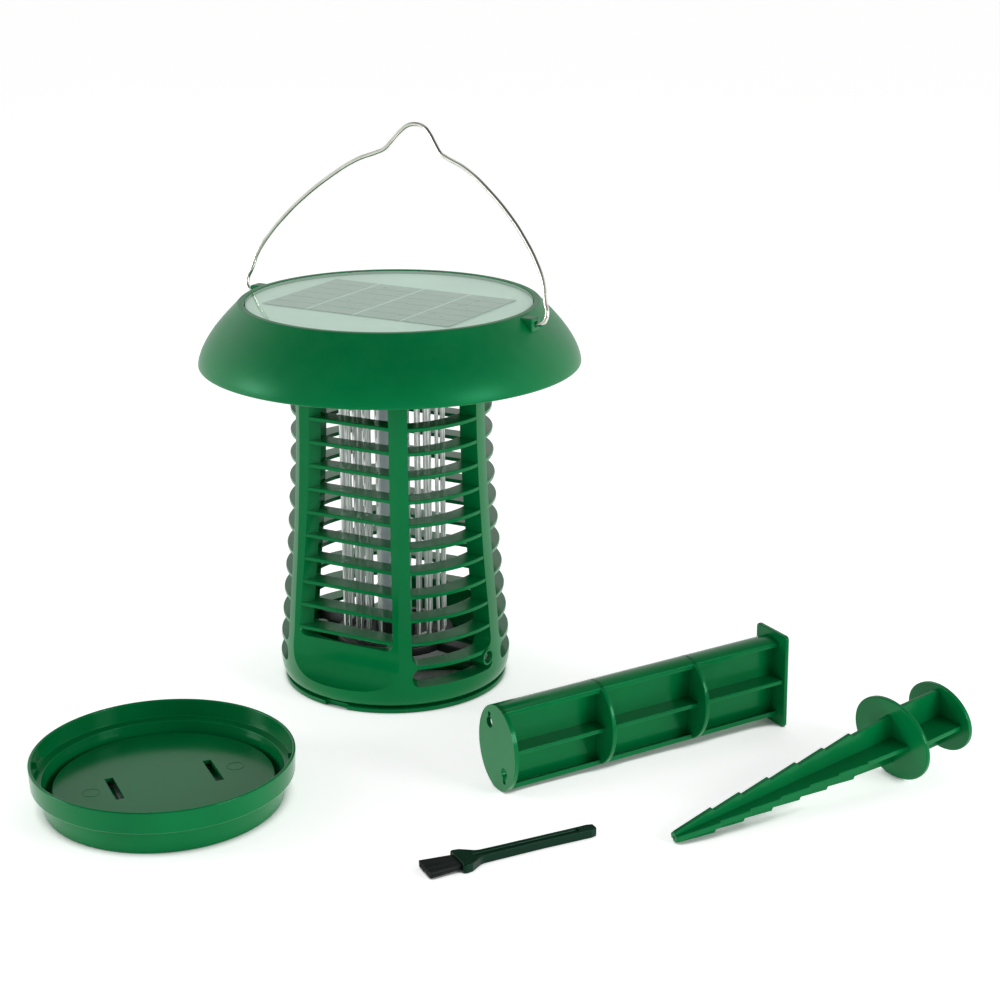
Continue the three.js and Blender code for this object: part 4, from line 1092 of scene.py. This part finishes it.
class ZAPPER_OT_grids(bpy.types.Operator):
    """Build the two wire grids, their lower holder and the frosted tube"""
    bl_idname = "zapper.grids"
    bl_label = "Grids and tube"

    def execute(self, context):
        s = context.scene.zapper_wire
        rows = (
            ("outer_wires", GRID_HIGH.x - 1.5 * MM, s.outer_wires, "outer_grid"),
            ("inner_wires", 19.5 * MM, s.inner_wires, "inner_grid"),
        )
        low, high = GRID_LOW.z, GRID_HIGH.z
        for name, radius, count, node in rows:
            parts = []
            for z in (low + 0.75 * MM, high - 0.75 * MM):
                section = [polar(0.75 * MM, 360 * i / 10) for i in range(10)]
                parts.append(lathe([(radius + point.x, z + point.y) for point in section], 72))
            for i in range(count):
                at = polar(radius, 360 * i / count)
                wire = bar((at.x, at.y, low + 0.5 * MM), (at.x, at.y, high - 0.5 * MM), s.grid / 2, 12)
                parts.append(wire)
            piece(name, gather(*parts), "lamp", finish("grid_steel"), "grid_steel", node, smooth=50)
        self.tube()
        self.holder()
        return {"FINISHED"}

    def tube(self):
        wall = 1.2 * MM
        outer = TUBE_HIGH.x
        profile = filleted([
            (outer - wall, TUBE_LOW.z, 0.3 * MM), (outer, TUBE_LOW.z, 0.5 * MM),
            (outer, TUBE_HIGH.z, 0.5 * MM), (outer - wall, TUBE_HIGH.z, 0.3 * MM),
        ], steps=3)
        piece("frosted_tube", lathe(profile, 72), "lamp", finish("tube_frost"), "tube_frost", "light_tube")

    def holder(self):
        """The seat of the wires, on its stem, with arms to the side screws."""
        high = HOLDER_HIGH.z
        low = high - 5 * MM
        outer = 31 * MM
        profile = filleted([
            (0, HOLDER_LOW.z, 0), (9 * MM, HOLDER_LOW.z, 0.4 * MM), (9 * MM, low, 0.6 * MM),
            (outer, low, 0.8 * MM), (outer, high, 0.8 * MM), (23.6 * MM, high, 0.3 * MM),
            (23.4 * MM, high - 0.8 * MM, 0.3 * MM),
            (22.4 * MM, high - 0.8 * MM, 0.3 * MM), (22.2 * MM, high, 0.3 * MM), (0, high, 0),
        ], False, 3)
        parts = [lathe(profile, 96)]
        for i, angle in enumerate(SIDE_SCREWS):
            screw_low, screw_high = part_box(f"side_screw_{i + 1}")
            middle = (screw_low + screw_high) / 2
            reach = Vector((middle.x, middle.y)).length - 1.5 * MM
            arm = block((outer - 3 * MM, -4 * MM, low), (reach, 4 * MM, high), 0.7 * MM)
            parts.append(turned(arm, angle + CAGE_YAW))
        holder = gather(*parts)
        piece("wire_seat", holder, "lamp", finish("black_plastic"), "black_plastic", "grid_base_holder")


def screw(head_radius, head_height, shank_radius, length):
    """A cross-head screw with its head's top at the origin and its point down -Z."""
    head = lathe(filleted([
        (0, 0, 0), (0.6 * head_radius, -0.1 * head_height, 0), (head_radius, -0.55 * head_height, 0.2 * MM),
        (head_radius, -head_height, 0.1 * MM), (0, -head_height, 0),
    ], False, 3), 40)
    depth = 0.7 * head_height
    arm = 0.55 * head_radius
    slots = [
        block((-arm, -0.35 * MM, -depth), (arm, 0.35 * MM, 1 * MM)),
        block((-0.35 * MM, -arm, -depth), (0.35 * MM, arm, 1 * MM)),
    ]
    for slot in slots:
        head = carved(head, slot)
    thread = [(0, -0.9 * head_height)]
    pitch = 0.9 * MM
    turns = int((length - head_height - 1.5 * MM) / pitch)
    for i in range(turns):
        z = -head_height - i * pitch
        thread += [(0.78 * shank_radius, z), (shank_radius, z - 0.45 * pitch)]
    thread += [(0.78 * shank_radius, -length + 1.2 * MM), (0, -length)]
    return gather(soften(head, 0.06 * MM, 60, 1), lathe(thread, 20))


class ZAPPER_OT_screws(bpy.types.Operator):
    """Turn the screws of the hood, the cage's top and the cage's foot"""
    bl_idname = "zapper.screws"
    bl_label = "Screws"

    def execute(self, context):
        steel = finish("screw_steel")
        for i in range(4):
            for family, way in (("hood", -1), ("cage", 1)):
                node = f"{family}_screw_{i + 1}"
                low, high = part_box(node)
                middle = (low + high) / 2
                made = screw(*CROSS_SCREW, high.z - low.z)
                if way < 0:
                    made = placed(made, Matrix.Rotation(math.pi, 4, "X"))
                made = placed(made, Matrix.Translation((middle.x, middle.y, high.z if way > 0 else low.z)))
                piece(f"{family}_cross_screw_{i + 1}", made, "lamp", steel, "screw_steel", node)
        for i, angle in enumerate(SIDE_SCREWS):
            node = f"side_screw_{i + 1}"
            low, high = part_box(node)
            z = (low.z + high.z) / 2
            yaw = math.radians(angle + CAGE_YAW)
            out = Vector((math.cos(yaw), math.sin(yaw), 0))
            span = Vector((high.x - low.x, high.y - low.y)).length
            end = ((low + high) / 2).dot(out) + span / 2 - 1.2 * MM
            made = screw(*CROSS_SCREW, span - 2.4 * MM)
            made = placed(made, Matrix.Rotation(math.pi / 2, 4, "Y"))
            place = Matrix.Translation(out * end + Vector((0, 0, z))) @ Matrix.Rotation(yaw, 4, "Z")
            piece(f"side_cross_screw_{i + 1}", placed(made, place), "lamp", steel, "screw_steel", node)
        return {"FINISHED"}


class ZAPPER_OT_tray(bpy.types.Operator):
    """Build the catch tray: stepped wall, raised floor with two slots, bayonet keys and hooks"""
    bl_idname = "zapper.tray"
    bl_label = "Catch tray"

    def execute(self, context):
        s = context.scene.zapper_loose
        wall = s.tray_wall
        top = TRAY_HIGH.z
        seat_radius = (TRAY_HIGH.x - TRAY_LOW.x) / 2 - wall - 0.05 * MM
        outer = seat_radius + wall
        foot, seat, floor = 54.9 * MM, 14 * MM, 9 * MM
        plateau, under = 51 * MM, floor - 2 * MM
        profile = filleted([
            (0, under, 0), (plateau - wall, under, 0.6 * MM), (plateau - wall, 0, 0.4 * MM),
            (foot, 0, 0.8 * MM), (foot + 1.8 * MM, seat - 3 * MM, 1.5 * MM),
            (outer - 0.5 * MM, seat - 1.8 * MM, 1.2 * MM), (outer, top, 0.7 * MM),
            (seat_radius, top, 0.7 * MM), (seat_radius, seat, 0.4 * MM),
            (foot + 0.4 * MM, seat - 0.6 * MM, 0.5 * MM), (foot - wall, wall, 0.6 * MM),
            (plateau, wall, 0.6 * MM), (plateau, floor, 0.5 * MM), (0, floor, 0),
        ], False, 4)
        dish = lathe(profile, 192)
        slot_middle = s.plate_height / 2 - 1.15 * MM
        half = s.plate_width / 2 - 0.5 * MM
        cuts = []
        for side in (-1, 1):
            at = side * slot_middle
            cuts.append(block((at - 2 * MM, -half, 3 * MM), (at + 2 * MM, half, floor + 1 * MM)))
        dish = soften(carved(dish, gather(*cuts)), 0.3 * MM, 60)
        parts = [dish]
        hook_low = under - s.rib - 2.2 * MM
        for side in (-1, 1):
            leg_in = side * (s.plate_height / 2 + 0.9 * MM)
            leg_out = leg_in + side * 1.6 * MM
            xs = sorted((leg_in, leg_out))
            parts.append(block((xs[0], -half, hook_low), (xs[1], half, floor - 1 * MM), 0.3 * MM))
            xs = sorted((side * (slot_middle - 1.6 * MM), leg_out))
            parts.append(block((xs[0], -half, hook_low), (xs[1], half, hook_low + 1.6 * MM), 0.3 * MM))
            low = seat + 2.7 * MM
            near, far = seat_radius - 2.2 * MM, seat_radius + 0.6 * MM
            key = block((near, -5.25 * MM, low), (far, 5.25 * MM, low + 1.2 * MM), 0.3 * MM)
            stop = block((near, 4.4 * MM, low), (far, 5.6 * MM, low + 3.6 * MM), 0.3 * MM)
            parts.append(turned(gather(key, stop), side * 90 + 66))
            sunk, proud = floor - 0.2 * MM, floor + 0.12 * MM
            mark = filleted([
                (3.4 * MM, sunk, 0), (4.4 * MM, sunk, 0), (4.1 * MM, proud, 0.1 * MM),
                (3.7 * MM, proud, 0.1 * MM),
            ], steps=2)
            parts.append(placed(lathe(mark, 48), Matrix.Translation((side * 34 * MM, 0, 0))))
        place = Matrix.Translation((TRAY_MIDDLE.x, TRAY_MIDDLE.y, 0)) @ Matrix.Rotation(s.tray_turn, 4, "Z")
        whole = placed(gather(*parts), place)
        piece("tray", whole, "tray", finish("green_gloss"), "green_gloss", "catch_tray")
        return {"FINISHED"}


def ellipse(half_x, half_y, steps=96):
    turns = [math.tau * i / steps for i in range(steps)]
    return [(half_x * math.cos(angle), half_y * math.sin(angle)) for angle in turns]


def across(outline, low, high):
    """An outline in Y and Z, extruded along X."""
    turn_up = Matrix(((0, 0, 1, 0), (1, 0, 0, 0), (0, 1, 0, 0), (0, 0, 0, 1)))
    return placed(prism(outline, low, high), turn_up)


def rounded_rectangle(half_x, half_y, corner):
    corners = ((half_x, half_y), (-half_x, half_y), (-half_x, -half_y), (half_x, -half_y))
    return filleted([(x, y, corner) for x, y in corners], steps=5)


class ZAPPER_OT_post(bpy.types.Operator):
    """Build the extension post: ovals, end plate, crossed ribs, curved caps and keyholes"""
    bl_idname = "zapper.post"
    bl_label = "Extension post"

    def execute(self, context):
        s = context.scene.zapper_loose
        half_y, half_z = s.oval_width / 2, s.oval_height / 2
        edge = 0.5 * MM
        parts = []
        for i in range(3):
            x = s.post_length * i / 3
            disc = across(ellipse(half_y, half_z), x, x + s.rib)
            if i == 0:
                disc = carved(disc, gather(*self.keyholes(s)))
            parts.append(soften(disc, edge, 50, 3))
        outline = rounded_rectangle(s.plate_width / 2, s.plate_height / 2, 2 * MM)
        parts.append(soften(across(outline, s.post_length - s.rib, s.post_length), edge, 50, 3))
        core = across(ellipse(half_y, half_z), 0.3 * MM, s.post_length - 0.3 * MM)
        hollow = across(ellipse(half_y - s.rib, half_z - s.rib), -1 * MM, s.post_length + 1 * MM)
        caps = carved(core, hollow)
        keep = block((0, -s.cap_width / 2, -s.oval_height), (s.post_length, s.cap_width / 2, s.oval_height))
        parts.append(soften(carved(caps, keep, "INTERSECT"), edge, 50, 2))
        rib = s.rib / 2
        far = s.post_length - 0.4 * MM
        web = carved(
            block((0.4 * MM, -rib, -half_z + 1 * MM), (far, rib, half_z - 1 * MM)),
            gather(*self.keyholes(s)),
        )
        parts.append(web)
        parts.append(block((0.4 * MM, -s.middle_rib / 2, -rib), (far, s.middle_rib / 2, rib), edge))
        drop = math.asin((s.plate_height - s.oval_height) / 2 / s.post_length)
        whole = gather(*parts)
        tilt = Matrix.Rotation(s.post_turn, 4, "Z") @ Matrix.Rotation(-drop, 4, "Y")
        place = Matrix.Translation((*POST_PLACE, half_z + LIE)) @ tilt
        piece("post", placed(whole, place), "post", finish("green_gloss"), "green_gloss", "extension_post")
        return {"FINISHED"}

    def keyholes(self, s):
        """Round holes with a slot, for the stake's hooked lugs."""
        cuts = []
        for side in (-1, 1):
            y, z = side * 6.5 * MM, side * 10.6 * MM
            cuts.append(bar((-1 * MM, y, z), (s.rib + 0.6 * MM, y, z), 2.7 * MM, 40))
            zs = sorted((z, z + side * 5.4 * MM))
            cuts[-1] = carved(
                cuts[-1],
                block((-1 * MM, y - 1.2 * MM, zs[0]), (s.rib + 0.6 * MM, y + 1.2 * MM, zs[1]), 0.6 * MM, 2),
                "UNION",
            )
        return cuts


class ZAPPER_OT_stake(bpy.types.Operator):
    """Build the ground stake: barbed cross blade, two ovals, ribbed neck and hook lugs"""
    bl_idname = "zapper.stake"
    bl_label = "Ground stake"

    def execute(self, context):
        s = context.scene.zapper_loose
        half_w, half_h = s.stake_width / 2, s.stake_height / 2
        share = s.oval_width / s.stake_height - 0.01
        start, root, bare, pitch, barbs = 6.2 * MM, 12.6 * MM, 24.5 * MM, 16.3 * MM, 6
        first = s.blade_length - pitch * (barbs - 1) - bare
        edge = 0.45 * MM
        disc = soften(across(ellipse(half_w, half_h), 0, s.rib), 0.6 * MM, 50, 3)
        small = across(ellipse(half_w * share, half_h * share), s.neck_length - s.rib, s.neck_length)
        parts = [disc, soften(small, edge, 50, 3)]
        neck_z, neck_y = half_h * share - 2 * MM, half_w * share - 5 * MM
        fin = s.fin / 2
        far = s.neck_length - 0.3 * MM
        parts.append(block((0.3 * MM, -fin, -neck_z), (far, fin, neck_z), edge))
        parts.append(block((0.3 * MM, -neck_y, -fin), (far, neck_y, fin), edge))
        line = [(-s.blade_length, 2.6 * MM, 0.8 * MM)]
        for i in range(barbs):
            x = first + pitch * i - s.blade_length
            half = start + (root - 0.6 * MM - start) * i / (barbs - 1)
            line += [(x, half, 0.3 * MM), (x + 0.9 * MM, half - 1.3 * MM, 0.4 * MM)]
        line.append((0.3 * MM, root, 0))
        mirrored = [(x, -y, r) for x, y, r in reversed(line)]
        outline = filleted(line + mirrored, steps=2)
        for way in (0, math.pi / 2):
            blade = soften(prism(outline, -fin, fin), edge, 40, 2)
            parts.append(placed(blade, Matrix.Rotation(way, 4, "X")))
        for side in (-1, 1):
            y, z = side * 10.6 * MM, side * 5 * MM
            x = s.neck_length
            low_y, high_y, foot_z, end = y - 1 * MM, y + 1 * MM, z - 1.8 * MM, x + 4.2 * MM
            parts.append(block((x - 0.5 * MM, low_y, foot_z), (end, high_y, z + 1.8 * MM), 0.4 * MM))
            parts.append(block((x + 2.8 * MM, low_y, foot_z), (end, high_y, z + 4 * MM), 0.4 * MM))
        tilt = math.atan((half_h - start) / (s.blade_length - first))
        turn_down = Matrix.Rotation(s.stake_turn, 4, "Z") @ Matrix.Rotation(-tilt, 4, "Y")
        lift = half_h * math.cos(tilt) + LIE
        place = Matrix.Translation((*STAKE_PLACE, lift)) @ turn_down
        whole = placed(gather(*parts), place)
        piece("stake", whole, "stake", finish("green_gloss"), "green_gloss", "ground_stake")
        return {"FINISHED"}


class ZAPPER_OT_brush(bpy.types.Operator):
    """Build the cleaning brush: channelled handle, flared head and separate bristles"""
    bl_idname = "zapper.brush"
    bl_label = "Brush"

    def execute(self, context):
        s = context.scene.zapper_loose
        start, end = s.bristle_length, s.brush_length
        thick = 4.2 * MM
        head, grip = 7.75 * MM, 2.7 * MM
        half = [
            (start + 0.6 * MM, head - 2.4 * MM, 0.5 * MM), (start, head - 0.8 * MM, 0.9 * MM),
            (start + 1.4 * MM, head, 0.9 * MM), (start + 4.6 * MM, head - 0.5 * MM, 1.6 * MM),
            (start + 11 * MM, grip + 0.2 * MM, 6 * MM), (end - 26 * MM, grip - 0.3 * MM, 8 * MM),
            (end - 3 * MM, grip + 0.1 * MM, 1.2 * MM), (end, grip - 0.7 * MM, 0.8 * MM),
        ]
        outline = filleted(half + [(x, -y, r) for x, y, r in reversed(half)], steps=5)
        handle = soften(prism(outline, 0, thick), 0.8 * MM, 40, 4)
        channel = block(
            (start + 8 * MM, -1.5 * MM, thick - 1.3 * MM), (end - 8 * MM, 1.5 * MM, thick + 2 * MM),
            0.9 * MM, 3,
        )
        handle = soften(carved(handle, channel), 0.25 * MM, 45, 2)
        place = Matrix.Translation(BRUSH_PLACE) @ Matrix.Rotation(s.brush_turn, 4, "Z")
        grip_finish = finish("brush_plastic")
        piece("brush_grip", placed(handle, place), "brush", grip_finish, "brush_plastic", "brush_handle")
        draw = random.Random(11)
        hairs = []
        spread_end = head - 1.5 * MM
        spread_root = head - 2.8 * MM
        for _ in range(s.bristles):
            across_share = draw.uniform(-1, 1)
            up_share = draw.uniform(-1, 1)
            root_y, root_z = across_share * spread_root, thick / 2 + up_share * 1.1 * MM
            tip_y = across_share * spread_end + draw.gauss(0, 0.12 * MM)
            tip_z = thick / 2 + up_share * 1.35 * MM + draw.gauss(0, 0.06 * MM)
            tip_x = max(0.0, draw.gauss(0.3 * MM, 0.2 * MM))
            root = (start + 0.6 * MM, root_y, root_z)
            hairs.append(bar(root, (tip_x, tip_y, tip_z), 0.15 * MM, 5, 0.12 * MM))
        tuft = placed(gather(*hairs), place)
        piece("brush_tuft", tuft, "brush", finish("bristle"), "bristle", "brush_bristles", smooth=60)
        return {"FINISHED"}


class ZAPPER_OT_inner_parts(bpy.types.Operator):
    """Give the holders, the electronics and the battery their finishes"""
    bl_idname = "zapper.inner_parts"
    bl_label = "Inner parts"

    def execute(self, context):
        slots = {part["node"]: part["material_slot"] for part in frame["record"]["subparts"]}
        for name, node in frame["nodes"].items():
            if node.hide_render:
                continue
            material = finish(slots[name])
            if not node.material_slots:
                node.data.materials.append(material)
            for slot in node.material_slots:
                slot.material = material
        return {"FINISHED"}


class ZAPPER_OT_stage(bpy.types.Operator):
    """Set the pale floor, the softboxes and the camera"""
    bl_idname = "zapper.stage"
    bl_label = "Stage"

    def execute(self, context):
        s = context.scene.zapper_stage
        self.floor(context)
        self.camera(context, s)
        self.world(context, s)
        middle = Vector((0.08, -0.08, 0.08))
        rows = (
            ("left_softbox", (-1.2, -0.9, 0.45), 0.45, s.side),
            ("right_softbox", (1.3, -0.15, 0.45), 0.45, s.side),
            ("overhead_softbox", (-0.2, 0.5, 1.6), 0.8, s.key),
        )
        for name, place, width, power in rows:
            lamp = bpy.data.lights.new(name, "AREA")
            lamp.shape = "SQUARE"
            lamp.size = width
            lamp.energy = power
            holder = bpy.data.objects.new(name, lamp)
            holder.location = place
            holder.rotation_euler = (middle - Vector(place)).to_track_quat("-Z", "Y").to_euler()
            context.scene.collection.objects.link(holder)
        return {"FINISHED"}

    def floor(self, context):
        bm = bmesh.new()
        bmesh.ops.create_grid(bm, x_segments=4, y_segments=4, size=6.0)
        made = new_object("floor", bm)
        material, tree, shader, where = new_material("pale_floor")
        tint = rgba(context.scene.zapper_finishes.floor)
        cloud = spread(tree, noise(tree, where, 3.0, 2.0), 0.3, 0.7, 0.99, 1.0)
        tree.links.new(shaded(tree, cloud, tint), shader.inputs["Base Color"])
        shader.inputs["Roughness"].default_value = 0.9
        shader.inputs["Emission Color"].default_value = (1, 1, 1, 1)
        # painted shadow: the floor's glow is held off under the lamp's foot and, through ambient occlusion,
        # where objects lie close over it
        apart = vector_maths(tree, "DISTANCE", where, Vector((0, 0, 0)), "Value")
        uncovered = add(tree, "ShaderNodeAmbientOcclusion", {"Distance": 14 * MM}).outputs["AO"]
        shade = spread(tree, apart, FOOT_HIGH.x - 4 * MM, FOOT_HIGH.x + 1 * MM)
        shade = maths(tree, "MULTIPLY", shade, spread(tree, uncovered, 0.34, 0.52))
        glow = maths(tree, "MULTIPLY", shade, context.scene.zapper_stage.glow)
        tree.links.new(glow, shader.inputs["Emission Strength"])
        made.data.materials.append(material)

    def camera(self, context, s):
        data = bpy.data.cameras.new("viewpoint")
        data.lens = s.lens
        data.sensor_width = 36.0
        holder = bpy.data.objects.new("viewpoint", data)
        level = math.cos(s.pitch)
        back = Vector((math.sin(s.azimuth) * level, -math.cos(s.azimuth) * level, math.sin(s.pitch)))
        seen = Vector((0.0162, 0.0865, 0.0730))
        holder.location = seen + back * s.distance
        holder.rotation_euler = (-back).to_track_quat("-Z", "Y").to_euler()
        context.scene.collection.objects.link(holder)
        context.scene.camera = holder

    def world(self, context, s):
        """White for the eye, and for the surfaces a room with bright walls and a dim ceiling."""
        world = bpy.data.worlds.new("white_room")
        world.use_nodes = True
        tree = world.node_tree
        shader = tree.nodes["Background"]
        way = add(tree, "ShaderNodeTexCoord").outputs["Generated"]
        height = add(tree, "ShaderNodeSeparateXYZ", {"Vector": way}).outputs["Z"]
        corner = Vector((math.sin(s.azimuth), -math.cos(s.azimuth), 0.0))
        facing = vector_maths(tree, "DOT_PRODUCT", way, corner, "Value")
        ceiling = spread(tree, height, 0.45, 0.8, 1.0, s.ceiling)
        viewer = spread(tree, facing, 0.25, 0.75, 1.0, s.dark)
        behind = spread(tree, facing, -0.95, -0.5, s.behind, 1.0)
        near = maths(tree, "MULTIPLY", ceiling, viewer)
        lit = maths(tree, "MULTIPLY", near, maths(tree, "MULTIPLY", behind, s.fill))
        seen = add(tree, "ShaderNodeLightPath").outputs["Is Camera Ray"]
        strength = add(tree, "ShaderNodeMix", {0: seen, 2: lit, 3: 1.0}).outputs[0]
        tree.links.new(strength, shader.inputs["Strength"])
        shader.inputs["Color"].default_value = (1, 1, 1, 1)
        context.scene.world = world
        context.scene.view_settings.view_transform = "Standard"


class ZAPPER_PT_panel(bpy.types.Panel):
    """Lists the builders in the 3D view's sidebar"""
    bl_idname = "ZAPPER_PT_panel"
    bl_label = "Bug zapper"
    bl_space_type = "VIEW_3D"
    bl_region_type = "UI"
    bl_category = "Zapper"

    def draw(self, context):
        for group in SETTINGS:
            settings = getattr(context.scene, group)
            box = self.layout.box()
            for name in settings.__annotations__:
                box.prop(settings, name)
        for builder in BUILDERS:
            self.layout.operator(builder.bl_idname)


SETTINGS = {
    "zapper_hood": ZapperHoodSizes,
    "zapper_cage": ZapperCageSizes,
    "zapper_wire": ZapperWireSizes,
    "zapper_loose": ZapperLooseSizes,
    "zapper_finishes": ZapperFinishes,
    "zapper_stage": ZapperStageSettings,
}
BUILDERS = (
    ZAPPER_OT_hood, ZAPPER_OT_base_plate, ZAPPER_OT_solar_panel, ZAPPER_OT_bail, ZAPPER_OT_cage,
    ZAPPER_OT_foot, ZAPPER_OT_grids, ZAPPER_OT_screws, ZAPPER_OT_tray, ZAPPER_OT_post, ZAPPER_OT_stake,
    ZAPPER_OT_brush, ZAPPER_OT_inner_parts, ZAPPER_OT_stage,
)


def register():
    for made in (*SETTINGS.values(), *BUILDERS, ZAPPER_PT_panel):
        bpy.utils.register_class(made)
    for name, group in SETTINGS.items():
        setattr(bpy.types.Scene, name, PointerProperty(type=group))


def unregister():
    for name in SETTINGS:
        delattr(bpy.types.Scene, name)
    for made in reversed((*SETTINGS.values(), *BUILDERS, ZAPPER_PT_panel)):
        bpy.utils.unregister_class(made)


def main():
    register()
    for builder in BUILDERS:
        family, name = builder.bl_idname.split(".")
        getattr(getattr(bpy.ops, family), name)()


if __name__ == "__main__":
    main()
